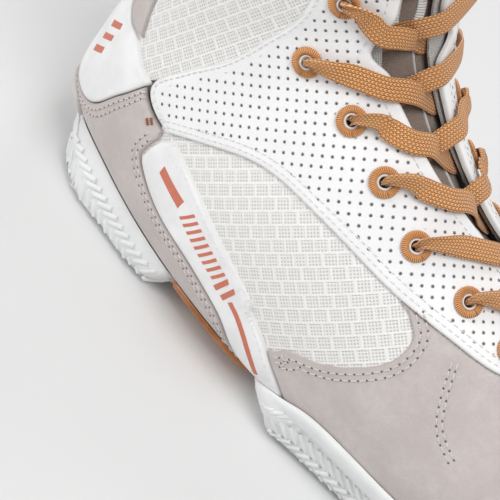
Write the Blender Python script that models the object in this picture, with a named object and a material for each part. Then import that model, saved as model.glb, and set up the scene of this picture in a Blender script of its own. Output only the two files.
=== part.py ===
"""Boxing boot for the right foot: a split-sole boot of separate, layered pieces.

The frame: origin on the ground under the middle of the heel, +X to the toe, +Y to the medial
(inner) side, +Z up. All the upper's pieces are panels of one foot-shaped form, stacked outwards
in layers: lining, mesh and stiffeners, overlays, then rings and lace. The form has two
coordinates: u runs from the toe tip (0) over the instep to the collar (14), and v runs round
the section, 0 on the front or top, 1 at the back or under the sole, lateral side negative.
"""

import math

import bmesh
import bpy
import numpy as np
from mathutils import Matrix, Vector

MM = 0.001
HEEL_REST_X = 45.0  # the heel's middle, measured from the back of the form, becomes x = 0

# Sections of the form in millimetres, toe tip first: bottom or back point (x, z), top or front
# point (x, z), lateral y, medial y, height share of the widest place, corner exponents.
STATIONS = (
    (271.5, 25, 271.5, 25, 4.4, 4.6, 0.50, 2.0, 2.0),
    (263, 18, 266, 41, -16, 25, 0.42, 2.6, 2.2),
    (246, 14, 250, 53, -32, 38, 0.38, 3.2, 2.3),
    (221, 12, 224, 60, -43, 46, 0.34, 3.6, 2.2),
    (190, 12, 198, 67, -47, 46, 0.32, 3.8, 2.0),
    (158, 11.5, 173, 78, -48, 38, 0.32, 4.2, 2.0),
    (122, 9.5, 150, 90, -49, 32, 0.34, 4.4, 2.0),
    (80, 10.5, 131, 103, -47, 31, 0.36, 4.2, 2.0),
    (36, 12, 117, 114, -41, 32, 0.40, 3.2, 2.0),
    (3, 20, 108, 125, -36, 32, 0.44, 2.5, 2.1),
    (0, 44, 103, 136, -33, 32, 0.48, 2.1, 2.1),
    (6, 73, 99, 146, -33, 33, 0.50, 2.0, 2.1),
    (11, 100, 96, 156, -34, 33, 0.50, 2.0, 2.1),
    (12, 127, 94, 167, -35, 34, 0.50, 2.1, 2.1),
    (10, 152, 92, 178, -36, 35, 0.50, 2.2, 2.1),
    (7, 175, 91, 198, -36, 35, 0.50, 2.2, 2.1),
)

# Every panel is cut by the same lines of the form, so that stacked layers stay parallel.
U_LINES = (0, 0.35, 0.9, 1.7, 2.6, 3.6, 4.6, 5.6, 6.6, 7.4, 8.1, 8.6, 9.05, 9.5, 10.4, 11.8, 13.5,
           14, 15)
V_LINES = (0, 0.12, 0.25, 0.38, 0.5, 0.6, 0.7, 0.8, 0.9, 1)
CUT_SNAP = 1e-5  # in u and v, how close to a line a point counts as on it

# Layers, as distances outwards from the form, in millimetres.
LINING = (0.0, 0.9)
MIDDLE = (1.3, 2.2)
OVERLAY = (2.6, 3.8)
RUBBER_SIDE = 4.3
RUBBER_FLOOR = 8.0
SIDE_WALL = 7.0
TREAD_REACH = 16.0  # far enough to meet the ground, which trims it flat
THIN_END = 5.5  # outer face of the rubber where it runs out towards the arch
HEEL_BACK = 7.5  # and where it ends behind the heel
FOAM = (4.5, 7.5)
SHANK = (4.2, 7.2)
BOARD = (-1.6, -0.3)
SOCKLINER = (-5.0, -1.9)
TONGUE = (-7.3, -3.8)
KEEPER = (-3.4, -2.6)
BUMPER = (4.2, 5.7)
COLLAR_PADDING = (-1.6, 4.4)
TAB_BASE = (4.1, 5.5)
TAB_FOOT = 6.6

# Where the layers turn under the foot, as distances in v from the sole's middle line.
LASTED_EDGE = 0.12
FOAM_EDGE = 0.18
FLOOR_EDGE = (0.20, 0.24)
BALL_WALL = (0.26, 0.34)  # where the tread turns up into the side wall, under the forefoot
HEEL_WALL = (0.195, 0.27)  # and under the heel
BOARD_EDGE = 0.26
HEEL_TURN = 8.75  # u of the lasted edge at the back

TOE_SPRING_START = 221.0
TOE_SPRING = 10.0
TOE_SPRING_LENGTH = 50.0

# The lacing: one row per eyelet pair, as u and v of the lateral eyelet.
EYELETS = ((4.42, -0.095), (5.17, -0.117), (6.07, -0.155), (6.99, -0.168), (8.06, -0.203),
           (9.45, -0.289), (11.07, -0.273), (13.05, -0.262))
MEDIAL_EYELET_SHIFT = 0.2  # the medial row sits this much in u nearer the toe
THROAT_END = 4.02
THROAT_END_V = 0.071
HALF_GAP = 0.05
NOTCH_DEPTH = 0.035
LINING_SETBACK = 0.014  # in v, how far the lining stops short of the facing's edge
LINING_SEAM = 3.93
ANKLE_SEAM_FRONT = 8.65  # u where the leg's lining meets the quarter's at the throat
ANKLE_SEAM = ((9.0, 0.5), (9.5, 1.0))
SEAM_GAP = 0.03  # in u, between two pieces that meet edge to edge
RING_RADIUS = 3.6
RING_THICKNESS = 1.25
RING_FLATNESS = 0.5
RING_GAP = 0.6  # between the facing and the middle of a ring's underside
EYELET_HOLE = 3.2

# The lace's control points give its width and thickness in millimetres.
LACE_WIDTH = 7.0
LACE_GATHERED = 4.4
LACE_THICKNESS = 1.0
LEVEL_ENOUGH = 0.75  # how square to the form a run must be for the form to steer the lace's twist
LEVEL_PULL = 1.5
IN_EYELET = (2.0, 1.4)
LEAVING_EYELET = (2.4, 1.4)
UNDER_EYELET = (3.0, 1.2)

COLLAR_EDGE = 13.5
TONGUE_SPLIT = 14.1
TONGUE_TIP = 14.85
TONGUE_FOOT_WIDTH = 0.10
TONGUE_HALF_WIDTH = 0.19
TONGUE_HINGE_AHEAD = 2.0  # the fold's axis lies this far in front of the tongue

KEEPER_U = 10.6
KEEPER_SIZES = ((0.95, 0.055), (0.70, 0.030))  # outside and inside, as half sizes in u and v
KEEPER_SQUARENESS = 0.6

TOE_HINGE = (205.0, 0.0, 5.0)
TAB_U = 13.42
TAB_WIDTH = 18.0
TAB_HEIGHT = 30.0
TAB_THICKNESS = 1.5
TAB_RADIUS = 3.4  # of the fold over the top, which leaves a gap between the two layers

WHITE = (0.80, 0.80, 0.79, 1)
SUEDE = (0.55, 0.50, 0.48, 1)
ORANGE = (0.60, 0.27, 0.09, 1)
RUBBER = (0.72, 0.72, 0.71, 1)
TAUPE = (0.30, 0.24, 0.20, 1)
BRONZE = (0.42, 0.18, 0.05, 1)
LINING_GREY = (0.62, 0.60, 0.58, 1)
STIFFENER_GREY = (0.52, 0.50, 0.47, 1)


def clear_scene():
    for item in list(bpy.data.objects):
        bpy.data.objects.remove(item, do_unlink=True)


def new_collection(name):
    group = bpy.data.collections.new(name)
    bpy.context.scene.collection.children.link(group)
    return group


def paint(name, colour, roughness, metallic=0.0):
    material = bpy.data.materials.new(name)
    material.use_nodes = True
    shader = material.node_tree.nodes["Principled BSDF"]
    shader.inputs["Base Color"].default_value = colour
    shader.inputs["Roughness"].default_value = roughness
    shader.inputs["Metallic"].default_value = metallic
    material.diffuse_color = colour
    return material


def spline(t, points):
    """Catmull-Rom curve through the points, with t counted in points."""
    last = len(points) - 1
    t = min(max(t, 0.0), last - 1e-9)
    i = int(t)
    f = t - i
    p1 = points[i]
    p2 = points[i + 1]
    p0 = points[i - 1] if i > 0 else 2 * p1 - p2
    p3 = points[i + 2] if i + 2 <= last else 2 * p2 - p1
    slope = p2 - p0
    bend = 2 * p0 - 5 * p1 + 4 * p2 - p3
    return 0.5 * (2 * p1 + slope * f + bend * f * f + (3 * p1 - p0 - 3 * p2 + p3) * f ** 3)


SECTION_ROWS = [np.array(row, float) for row in STATIONS]


def wrap(v):
    """Fold any v into -1..1, so that panels can run on round the back."""
    return (v + 1) % 2 - 1


def form(u, v):
    """A point of the form, in millimetres."""
    bx, bz, tx, tz, lateral, medial, share, low_power, high_power = spline(u, SECTION_ROWS)
    v = wrap(v)
    angle = abs(v) * math.pi
    cosine = math.cos(angle)
    power = 2 / (high_power if cosine >= 0 else low_power)
    reach = abs(cosine) ** power
    height = share + (1 - share) * reach if cosine >= 0 else share * (1 - reach)
    side = math.copysign(abs(math.sin(angle)) ** power, v)
    y = (lateral + medial) / 2 + side * (medial - lateral) / 2
    return np.array((bx + (tx - bx) * height - HEEL_REST_X, y, bz + (tz - bz) * height))


def form_normal(u, v):
    """The form's outward direction."""
    if u <= 0:
        return np.array((1.0, 0.0, 0.0))
    step = 0.002
    along = form(u + step, v) - form(u - step, v)
    around = form(u, v + step) - form(u, v - step)
    normal = np.cross(along, around)
    normal /= np.linalg.norm(normal)
    middle = (form(u, 0) + form(u, 1)) / 2
    return normal if np.dot(form(u, v) - middle, normal) > 0 else -normal


CORNERS = {}


def corner(u, v):
    key = (round(u, 6), round(wrap(v), 6))
    if key not in CORNERS:
        CORNERS[key] = (form(u, v), form_normal(u, v))
    return CORNERS[key]


def v_lines_between(low, high):
    """All the v lines, repeated round the form, that bound or cross a range."""
    lines = set()
    for turn in (-2, 0, 2):
        for line in V_LINES:
            lines.add(round(turn + line, 6))
            lines.add(round(turn - line, 6))
    return [line for line in sorted(lines) if low <= line <= high]


ALL_V_LINES = v_lines_between(-2.0, 3.0)


def cell(value, lines):
    """The two lines round a value, and the value's place between them."""
    i = int(np.clip(np.searchsorted(lines, value, side="right") - 1, 0, len(lines) - 2))
    low = lines[i]
    high = lines[i + 1]
    return low, high, (value - low) / (high - low)


def skin(u, v, offset):
    """A point at a distance outwards from the faceted form, in millimetres."""
    u0, u1, fu = cell(u, U_LINES)
    v0, v1, fv = cell(v, ALL_V_LINES)
    near = corner(u0, v0)
    far = corner(u1, v1)
    if fu >= fv:
        other = corner(u1, v0)
        shares = (1 - fu, fu - fv, fv)
    else:
        other = corner(u0, v1)
        shares = (1 - fv, fv - fu, fu)
    place, normal = (sum(share * value for share, value in zip(shares, values))
                     for values in zip(near, other, far))
    return place + normal * offset


def metres(point):
    return Vector([float(c) * MM for c in point])


def curve(*points, steps=2):
    """Points of a smooth line through the given ones; its end is left to the next curve."""
    knots = [np.array(p, float) for p in points]
    count = (len(knots) - 1) * steps
    return [tuple(spline(i / steps, knots)) for i in range(count)]


def mirrored(points):
    """The same outline on the other side of v = 1."""
    return [(u, 2 - v) for u, v in reversed(points)]


def finish(name, mesh_data, material, origin=(0, 0, 0), parent=None):
    """Turn a bmesh in world millimetres into a named object of the boot."""
    place = metres(origin)
    for vert in mesh_data.verts:
        vert.co = vert.co * MM - place
    bmesh.ops.remove_doubles(mesh_data, verts=mesh_data.verts, dist=1e-6)
    bmesh.ops.recalc_face_normals(mesh_data, faces=mesh_data.faces)
    mesh = bpy.data.meshes.new(name)
    mesh_data.to_mesh(mesh)
    mesh_data.free()
    mesh.materials.append(material)
    mesh.shade_smooth()
    mesh.set_sharp_from_angle(angle=math.radians(35))
    item = bpy.data.objects.new(name, mesh)
    item.location = place
    if parent is not None:
        item.parent = parent
        item.location = place - parent.location
    BOOT.objects.link(item)
    return item


def as_function(value):
    return value if callable(value) else lambda u, v: value


def cut_diagonals(flat):
    """Split a flat outline, already cut into cells, along each cell's diagonal."""
    groups = {}
    for face in flat.faces:
        middle = face.calc_center_median()
        u0, u1, _ = cell(middle.x, U_LINES)
        v0, v1, _ = cell(middle.y, ALL_V_LINES)
        groups.setdefault((u0, u1, v0, v1), []).append(face)
    for (u0, u1, v0, v1), faces in groups.items():
        pieces = set(faces)
        for face in faces:
            pieces.update(face.verts)
            pieces.update(face.edges)
        bmesh.ops.bisect_plane(flat, geom=list(pieces), dist=CUT_SNAP, plane_co=(u0, v0, 0),
                               plane_no=(v1 - v0, u0 - u1, 0))


def panel(name, outline, layer, material, ground=None, **placing):
    """A closed shell over the form: the outline in (u, v), between two distances from the form.

    Either distance can be a function of (u, v). With a ground, nothing reaches below it.
    """
    inner, outer = (as_function(distance) for distance in layer)
    flat = bmesh.new()
    flat.faces.new([flat.verts.new((u, v, 0)) for u, v in outline])
    v_range = [v for _, v in outline]
    cuts = [((line, 0, 0), (1, 0, 0)) for line in U_LINES]
    cuts += [((0, line, 0), (0, 1, 0)) for line in v_lines_between(min(v_range), max(v_range))]
    for place, direction in cuts:
        everything = flat.verts[:] + flat.edges[:] + flat.faces[:]
        bmesh.ops.bisect_plane(flat, geom=everything, dist=CUT_SNAP, plane_co=place, plane_no=direction)
    cut_diagonals(flat)
    bmesh.ops.triangulate(flat, faces=flat.faces)

    solid = bmesh.new()
    sides = []
    for distance in (inner, outer):
        side = {}
        for vert in flat.verts:
            u, v = vert.co.x, vert.co.y
            point = skin(u, v, distance(u, v))
            if ground is not None:
                point[2] = max(point[2], ground(point[0]))
            side[vert.index] = solid.verts.new(point)
        sides.append(side)
    low, high = sides
    for face in flat.faces:
        numbers = [vert.index for vert in face.verts]
        solid.faces.new([high[n] for n in numbers])
        solid.faces.new([low[n] for n in reversed(numbers)])
    for edge in flat.edges:
        if edge.is_boundary:
            a, b = (vert.index for vert in edge.verts)
            solid.faces.new((low[a], low[b], high[b], high[a]))
    flat.free()
    return finish(name, solid, material, **placing)


def throat_centre(u):
    """v of the line half way between the two facings."""
    places = (4.0, 5.4, 6.1, 6.7, 7.4, 8.3, 9.0, 10.0, 14.0)
    values = (0.075, 0.07, 0.04, 0.0, -0.03, -0.065, -0.085, -0.105, -0.10)
    return float(np.interp(u, places, values))


def medial_v(u, v):
    """Where v of the lateral side lies on the medial one: about the throat's line near the throat."""
    centre = throat_centre(u)
    weight = max(0.0, 1 - abs(v - centre) / 0.4)
    return -v + 2 * centre * weight


def to_medial(points):
    """An outline of the lateral side carried over to the medial side."""
    return [(u, medial_v(u, v)) for u, v in reversed(points)]


def ground_height(x):
    """The walking surface of the sole, which springs up under the toes."""
    ahead = max(0.0, x + HEEL_REST_X - TOE_SPRING_START) / TOE_SPRING_LENGTH
    return TOE_SPRING * ahead ** 1.6


def rubber_inside(u, v):
    """The rubber cup's inner face: close on the upper at the rim, lower under the foam."""
    places = (0.35, 0.9, 5.6, 5.72, 7.05, 7.4, 8.6, 8.7)
    floor = np.interp(u, places, (RUBBER_SIDE, RUBBER_FLOOR, RUBBER_FLOOR, RUBBER_SIDE) * 2)
    return float(np.interp(abs(v - 1), FLOOR_EDGE, (floor, RUBBER_SIDE)))


def rubber_outside(u, v):
    """The rubber cup's outer face: a side wall that turns into a ground edge, thin at the arch."""
    places = (0.3, 1.3, 5.4, 5.76, 7.0, 7.35, 8.45, 8.8)
    reaches = (SIDE_WALL, TREAD_REACH, TREAD_REACH, THIN_END, THIN_END, TREAD_REACH, TREAD_REACH, HEEL_BACK)
    tread = np.interp(u, places, reaches)
    turn = [np.interp(u, (5.6, 6.7), ends) for ends in zip(BALL_WALL, HEEL_WALL)]
    return float(np.interp(abs(v - 1), turn, (tread, min(tread, SIDE_WALL))))


# The side wall's upper edge, as outline curves on the lateral side of v = 1.
HEEL_RIM = ((6.90, 1.20), (7.0, 1.262), (7.3, 1.264), (7.76, 1.246), (8.2, 1.232), (8.48, 1.215),
            (8.68, 1.14), (8.78, 1.0))
BALL_RIM = ((5.80, 1.25), (5.70, 1.33), (5.45, 1.39), (5.15, 1.44), (4.6, 1.46), (3.9, 1.465),
            (2.9, 1.46), (2.26, 1.455))
TOE_RIM = ((2.23, 1.455), (1.6, 1.45), (1.0, 1.45), (0.4, 1.47), (0.06, 1.5))

# Edges shared by neighbouring overlays, on the lateral side.
STRAP_BACK = ((8.30, -0.510), (8.20, -0.540), (8.10, -0.559), (7.76, -0.567), (7.44, -0.566),
              (6.98, -0.553), (6.58, -0.562), (6.34, -0.588), (6.11, -0.660), (5.90, -0.740),
              (5.78, -0.880))
STRAP_FRONT = ((5.10, -0.880), (5.22, -0.760), (5.37, -0.665), (5.59, -0.571), (5.93, -0.514),
               (6.40, -0.499), (6.90, -0.489), (7.64, -0.487), (8.26, -0.498))
FACING_LOWER = ((8.38, -0.502), (8.21, -0.456), (7.93, -0.394), (7.63, -0.354), (7.19, -0.319),
                (6.42, -0.273), (5.62, -0.235), (4.92, -0.195), (4.25, -0.144), (3.85, -0.06),
                (3.72, 0.075))
FACING_UPPER = ((13.5, -0.34), (12.0, -0.34), (10.74, -0.348), (10.07, -0.386), (9.60, -0.423),
                (9.40, -0.477), (9.13, -0.522), (8.38, -0.502))
WINDOW_FRONT = ((5.88, -0.508), (5.42, -0.437), (5.10, -0.335), (5.14, -0.262), (5.42, -0.236))
HEEL_TOP = ((9.10, 1.470), (8.95, 1.410), (8.84, 1.300), (9.25, 1.150), (9.50, 1.0))
BACKSTAY_SIDE = ((13.5, 1.130), (12.0, 1.150), (10.9, 1.190), (10.3, 1.290), (9.95, 1.364), (9.16, 1.470))
TIP_HOLE = 0.06  # in u, where the toe pieces stop short of the very tip
EDGE_GAP = 0.006  # in v, about half a millimetre between neighbouring overlays


def shifted(points, du=0.0, dv=0.0):
    return [(u + du, v + dv) for u, v in points]


def band_outline(rim):
    """A closed outline over the sole from its rim, given on the lateral side."""
    lateral = curve(*rim) + [rim[-1]]
    return lateral + [(u, v) for u, v in mirrored(lateral) if v < 1]


def build_sole(toe_pivot):
    rubber = paint("white rubber", RUBBER, 0.5)
    toe_rubber = paint("white toe rubber", RUBBER, 0.5)
    ball_rubber = paint("white forefoot rubber", RUBBER, 0.5)
    cup = (rubber_inside, rubber_outside)
    panel("outsole_heel", band_outline(HEEL_RIM), cup, rubber, ground_height)
    panel("outsole_forefoot", band_outline(BALL_RIM), cup, ball_rubber, ground_height)
    panel("outsole_toe", band_outline(TOE_RIM), cup, toe_rubber, ground_height, parent=toe_pivot)

    shank = curve((6.86, 1.20), (6.78, 1.27), (6.55, 1.29), (6.1, 1.295), (5.88, 1.27), (5.84, 1.20))
    shank.append((5.84, 1.20))
    panel("arch_shank", shank + mirrored(shank), SHANK, paint("bronze arch plate", BRONZE, 0.35, 0.4))

    heel_foam = curve((7.42, 1.12), (7.55, 1 + FOAM_EDGE), (8.2, 1 + FOAM_EDGE), (8.5, 1.10), (8.55, 1.0))
    heel_foam.append((8.55, 1.0))
    panel("midsole_heel", heel_foam + mirrored(heel_foam[:-1]), FOAM, paint("heel foam", WHITE, 0.9))
    ball_foam = curve((5.4, 1 + FOAM_EDGE), (3.0, 1 + FOAM_EDGE), (1.4, 1 + FOAM_EDGE), (1.0, 1.1))
    ball_foam.append((1.0, 1.1))
    panel("midsole_forefoot", ball_foam + mirrored(ball_foam), FOAM, paint("ball foam", WHITE, 0.9))

    bed = curve((0.55, 1.12), (1.0, 1.22), (2.5, 1 + BOARD_EDGE), (5.0, 1 + BOARD_EDGE),
                (7.5, 1 + BOARD_EDGE), (8.3, 1.20), (8.6, 1.0))
    bed.append((8.6, 1.0))
    outline = bed + mirrored(bed[:-1])
    panel("insole_board", outline, BOARD, paint("fibre board", (0.45, 0.33, 0.2, 1), 0.9))
    panel("sockliner", outline, SOCKLINER, paint("sockliner cloth", (0.5, 0.48, 0.46, 1), 0.95))


def lasted_loop(front_u, back_u):
    """The edge of a piece that wraps the heel and turns under the foot on both sides."""
    side = 1 + LASTED_EDGE
    return curve((front_u, side), (7.5, side), (8.4, side), (back_u, 1.0)) + [(back_u, 1.0)]


def over_toes(back_u):
    """The edge of a piece over the toes, from a line across the boot to just short of the tip."""
    edge = 1 - LASTED_EDGE
    return [(u, v) for u, side in ((back_u, 1), (TIP_HOLE, -1)) for v in (side * edge, 0.0, -side * edge)]


def around(half):
    """A run on the medial side, which ends at v = 1, carried on round the back to the lateral side."""
    rest = []
    for u, v in reversed(half[:-1]):
        centre = throat_centre(u)
        near = float(np.interp(abs(v - centre), (0.1, 0.4), (1.0, 0.0)))
        rest.append((u, 2 - v + 2 * centre * near))
    return rest


def throat_run(start, end):
    """The lining's edge beside the throat, on the medial side, between two values of u."""
    return [(u, throat_centre(u) + HALF_GAP + LINING_SETBACK) for u in np.linspace(start, end, 8)]


def build_inside(toe_pivot):
    front = LINING_SEAM + SEAM_GAP
    loop = lasted_loop(front, HEEL_TURN)
    half = [(front, throat_centre(front) + HALF_GAP)] + throat_run(4.2, ANKLE_SEAM_FRONT) + list(ANKLE_SEAM)
    quarter = loop + mirrored(loop[:-1]) + half + around(half)
    panel("lining_quarter", quarter, LINING, paint("quarter lining", LINING_GREY, 0.95))
    half = throat_run(COLLAR_EDGE, ANKLE_SEAM_FRONT + SEAM_GAP) + shifted(ANKLE_SEAM, SEAM_GAP)
    panel("lining_leg", half + around(half), LINING, paint("leg lining", LINING_GREY, 0.95))
    panel("lining_vamp", over_toes(LINING_SEAM), LINING, paint("vamp lining", LINING_GREY, 0.95))
    puff = paint("toe stiffener", STIFFENER_GREY, 0.8)
    panel("toe_puff", over_toes(2.2), MIDDLE, puff, parent=toe_pivot)

    loop = lasted_loop(7.3, HEEL_TURN)
    top = curve((10.3, 1.0), (10.2, 1.15), (9.6, 1.30), (8.9, 1.385), (8.1, 1.39), (7.4, 1.30), (7.3, 1.12))
    top.append((7.3, 1.12))
    counter = mirrored(top[:-1]) + top[1:-1] + loop + mirrored(loop[1:-1])
    panel("heel_counter", counter, MIDDLE, paint("heel stiffener", STIFFENER_GREY, 0.8))


def build_mesh_panels():
    quarter = curve((4.20, -0.135), (5.60, -0.20), (6.40, -0.24), (7.20, -0.29), (7.90, -0.36),
                    (8.22, -0.44), (8.26, -0.56), (7.90, -0.60))
    quarter += curve((7.90, -0.60), (7.40, -0.68), (7.24, -0.76), (7.20, -0.88))
    quarter += [(7.20, -0.88), (4.20, -0.88)]
    collar = curve((9.20, -0.46), (9.45, -0.38), (10.0, -0.34), (10.7, -0.31), (COLLAR_EDGE, -0.31))
    collar += [(COLLAR_EDGE, -0.31), (COLLAR_EDGE, -0.88)]
    collar += curve((COLLAR_EDGE, -0.88), (11.6, -0.86), (10.6, -0.80), (9.90, -0.64), (9.20, -0.54))
    collar += [(9.20, -0.54)]
    for side, carry in (("lateral", list), ("medial", to_medial)):
        mesh = paint(f"side mesh {side}", WHITE, 0.9)
        panel(f"quarter_mesh_{side}", carry(quarter), MIDDLE, mesh)
        ankle = paint(f"ankle mesh {side}", WHITE, 0.9)
        panel(f"collar_mesh_{side}", carry(collar), MIDDLE, ankle)


def facing_outline():
    """The perforated facing of the lateral side, with the notch at the ankle."""
    low = [(u, throat_centre(u) - HALF_GAP) for u in (4.5, 5.4, 6.1, 6.7, 7.4, 8.3, 8.8)]
    high = [(u, throat_centre(u) - HALF_GAP) for u in (10.3, 11.0, 12.2, COLLAR_EDGE)]
    notch = (9.5, throat_centre(9.5) - HALF_GAP - NOTCH_DEPTH)
    inner = curve((THROAT_END, THROAT_END_V), (4.15, 0.05), *low, notch, *high)
    outline = inner + [high[-1]] + curve(*FACING_UPPER) + curve(*FACING_LOWER)
    return outline + [(3.72, THROAT_END_V)]


def build_overlays(toe_pivot):
    facing = facing_outline()
    strap = curve(*STRAP_BACK) + [STRAP_BACK[-1]] + curve(*STRAP_FRONT) + [STRAP_FRONT[-1]]
    patch = curve((13.5, 1.14), (12.0, 1.16), (10.9, 1.20), (10.3, 1.30), (10.02, 1.37))
    patch += curve((10.02, 1.37), (10.3, 1.35), (10.9, 1.315), (12.0, 1.31), (13.5, 1.32))
    patch += [(13.5, 1.32)]
    facings = []
    for side, carry, flip in (("lateral", list, list), ("medial", to_medial, mirrored)):
        leather = paint(f"perforated leather {side}", WHITE, 0.55)
        facings.append(panel(f"eyestay_{side}", carry(facing), OVERLAY, leather))
        smooth = paint(f"smooth strap {side}", WHITE, 0.45)
        panel(f"support_strap_{side}", carry(strap), OVERLAY, smooth)
        panel(f"ankle_patch_{side}", flip(patch), OVERLAY, paint(f"ankle suede {side}", SUEDE, 0.95))

    along_strap = shifted(STRAP_FRONT[:5], -SEAM_GAP, EDGE_GAP)
    window = shifted(WINDOW_FRONT, -0.01)
    along_facing = shifted(FACING_LOWER[6:], -SEAM_GAP, -EDGE_GAP)
    half = [(2.33, -0.88), (4.2, -0.88), (5.04, -0.88)]
    half += curve((5.04, -0.88), *along_strap) + curve(*window) + curve(*along_facing)
    half += [along_facing[-1]]
    other = to_medial(half)
    vamp = half[:-1] + [(3.69, 0.075)] + other[1:]
    panel("vamp", vamp, OVERLAY, paint("suede vamp", SUEDE, 0.95))
    panel("toe_cap", over_toes(2.27), OVERLAY, paint("suede toe", SUEDE, 0.95), parent=toe_pivot)

    lower = curve((8.7, 1.0), (8.4, 1.12), (7.5, 1.12), (5.88, 1.12)) + [(5.88, 1.12)]
    strap_side = shifted(reversed(STRAP_BACK[:-1]), 0.04, 2 - EDGE_GAP)
    side = curve((5.88, 1.12), *strap_side) + [strap_side[-1]]
    upper = curve((9.08, 1.465), *HEEL_TOP[1:])
    lateral = lower[1:] + side[1:] + [(8.42, 1.492)] + upper
    wrap_outline = [(8.7, 1.0)] + lateral + [HEEL_TOP[-1]] + mirrored(lateral)
    panel("heel_overlay", wrap_outline, OVERLAY, paint("suede heel", SUEDE, 0.95))

    stay = curve(*BACKSTAY_SIDE) + shifted(curve(*HEEL_TOP), SEAM_GAP)
    back = stay + [(9.53, 1.0)] + mirrored(stay)
    panel("backstay", back, OVERLAY, paint("smooth backstay", WHITE, 0.45))

    bumper = curve((8.87, 1.0), (8.78, 1.11), (8.66, 1.19), (8.86, 1.215), (9.15, 1.15), (9.30, 1.0))
    clip = bumper + [(9.30, 1.0)] + mirrored(bumper[1:])
    panel("heel_bumper", clip, BUMPER, paint("moulded heel piece", (0.62, 0.6, 0.58, 1), 0.4))
    return facings


def build_collar():
    padding = paint("collar padding", WHITE, 0.9)
    low = COLLAR_EDGE + 2 * SEAM_GAP
    lateral = 2 + throat_centre(14) - HALF_GAP
    medial = throat_centre(14) + HALF_GAP
    outline = [(low, medial), (14.0, medial), (14.0, lateral), (low, lateral)]
    panel("collar_binding", outline, COLLAR_PADDING, padding)


def tongue_outline(start, end):
    """The tongue's edge, which widens from its foot and then runs beside the throat's line."""
    points = []
    for u in np.linspace(start, end, 8):
        width = np.interp(u, (start, start + 0.8), (TONGUE_FOOT_WIDTH, TONGUE_HALF_WIDTH))
        points.append((u, throat_centre(u) + width))
    return points + [(u, 2 * throat_centre(u) - v) for u, v in reversed(points)]


def build_tongue():
    body = tongue_outline(4.25, TONGUE_SPLIT)
    panel("tongue", body, TONGUE, paint("tongue cloth", TAUPE, 0.95))
    centre = throat_centre(TONGUE_SPLIT)
    start = (TONGUE_SPLIT + SEAM_GAP, centre + TONGUE_HALF_WIDTH)
    tip = curve(start, (14.4, centre + TONGUE_HALF_WIDTH), (14.72, centre + 0.13), (TONGUE_TIP, centre))
    other = [(u, 2 * centre - v) for u, v in reversed(tip)]
    hinge = skin(TONGUE_SPLIT, centre, TONGUE[1] + TONGUE_HINGE_AHEAD)
    panel("tongue_top", tip + [(TONGUE_TIP, centre)] + other, TONGUE, paint("tongue top", TAUPE, 0.95),
          origin=(hinge[0], 0, hinge[2]))


def build_keeper():
    """A flat rounded-square ring on the tongue, which the lace passes over."""
    outline = []
    for angle in np.linspace(0, 2 * math.pi, 24, endpoint=False):
        pair = (math.cos(angle), math.sin(angle))
        outline.append([math.copysign(abs(c) ** KEEPER_SQUARENESS, c) for c in pair])
    mesh = bmesh.new()
    rows = []
    for scale_u, scale_v in KEEPER_SIZES:
        for distance in KEEPER:
            places = [(KEEPER_U + scale_u * a, scale_v * b) for a, b in outline]
            rows.append([mesh.verts.new(skin(u, throat_centre(u) + v, distance)) for u, v in places])
    low_out, high_out, low_in, high_in = rows
    for one, two in ((low_out, high_out), (high_out, high_in), (high_in, low_in), (low_in, low_out)):
        for i in range(len(outline)):
            j = (i + 1) % len(outline)
            mesh.faces.new((one[i], one[j], two[j], two[i]))
    finish("lace_keeper", mesh, paint("lace keeper", WHITE, 0.45))


def eyelet_place(row, side):
    """u and v of an eyelet; side is -1 on the lateral facing and 1 on the medial one."""
    u, v = EYELETS[row]
    if side < 0:
        return u, v
    return u - MEDIAL_EYELET_SHIFT, medial_v(u - MEDIAL_EYELET_SHIFT, v)


def local_frame(u, v, offset):
    """A matrix at a point over the form, with Z outwards and X along the boot."""
    here = skin(u, v, offset)
    ahead = skin(u - 0.15, v, offset) - skin(u + 0.15, v, offset)
    across = skin(u, v + 0.03, offset) - skin(u, v - 0.03, offset)
    z = np.cross(ahead, across)
    z /= np.linalg.norm(z)
    if np.dot(z, form_normal(u, v)) < 0:
        z = -z
    x = ahead / np.linalg.norm(ahead)
    y = np.cross(z, x)
    frame = Matrix.Identity(4)
    for column, axis in enumerate((x, y, z)):
        for row in range(3):
            frame[row][column] = axis[row]
    frame.translation = metres(here)
    return frame


def build_eyelets(facings):
    linings = [bpy.data.objects["lining_quarter"], bpy.data.objects["lining_leg"]]
    for side, name, facing in ((-1, "lateral", facings[0]), (1, "medial", facings[1])):
        cutter_mesh = bmesh.new()
        for row in range(len(EYELETS)):
            u, v = eyelet_place(row, side)
            frame = local_frame(u, v, 2.0)
            bmesh.ops.create_cone(cutter_mesh, cap_ends=True, segments=8, radius1=EYELET_HOLE * MM,
                                  radius2=EYELET_HOLE * MM, depth=8 * MM, matrix=frame)
            bpy.ops.mesh.primitive_torus_add(major_segments=12, minor_segments=4,
                                             major_radius=RING_RADIUS * MM, minor_radius=RING_THICKNESS * MM)
            ring = bpy.context.object
            ring.name = f"eyelet_{name}_{row + 1}"
            for vert in ring.data.vertices:
                vert.co.z *= RING_FLATNESS
            ring.matrix_world = local_frame(u, v, OVERLAY[1] + RING_GAP + RING_THICKNESS * RING_FLATNESS)
            ring.data.materials.append(paint(f"{name} ring {row + 1}", ORANGE, 0.8))
            ring.data.shade_smooth()
            for group in list(ring.users_collection):
                group.objects.unlink(ring)
            BOOT.objects.link(ring)
        mesh = bpy.data.meshes.new(f"{name} eyelet holes")
        cutter_mesh.to_mesh(mesh)
        cutter_mesh.free()
        cutter = bpy.data.objects.new(f"{name} eyelet holes", mesh)
        cutter.hide_render = True
        cutter.display_type = "WIRE"
        CUTTERS.objects.link(cutter)
        for item in [facing] + linings:
            cut = item.modifiers.new(f"{name} eyelet holes", "BOOLEAN")
            cut.operation = "DIFFERENCE"
            cut.solver = "EXACT"
            cut.object = cutter


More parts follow.
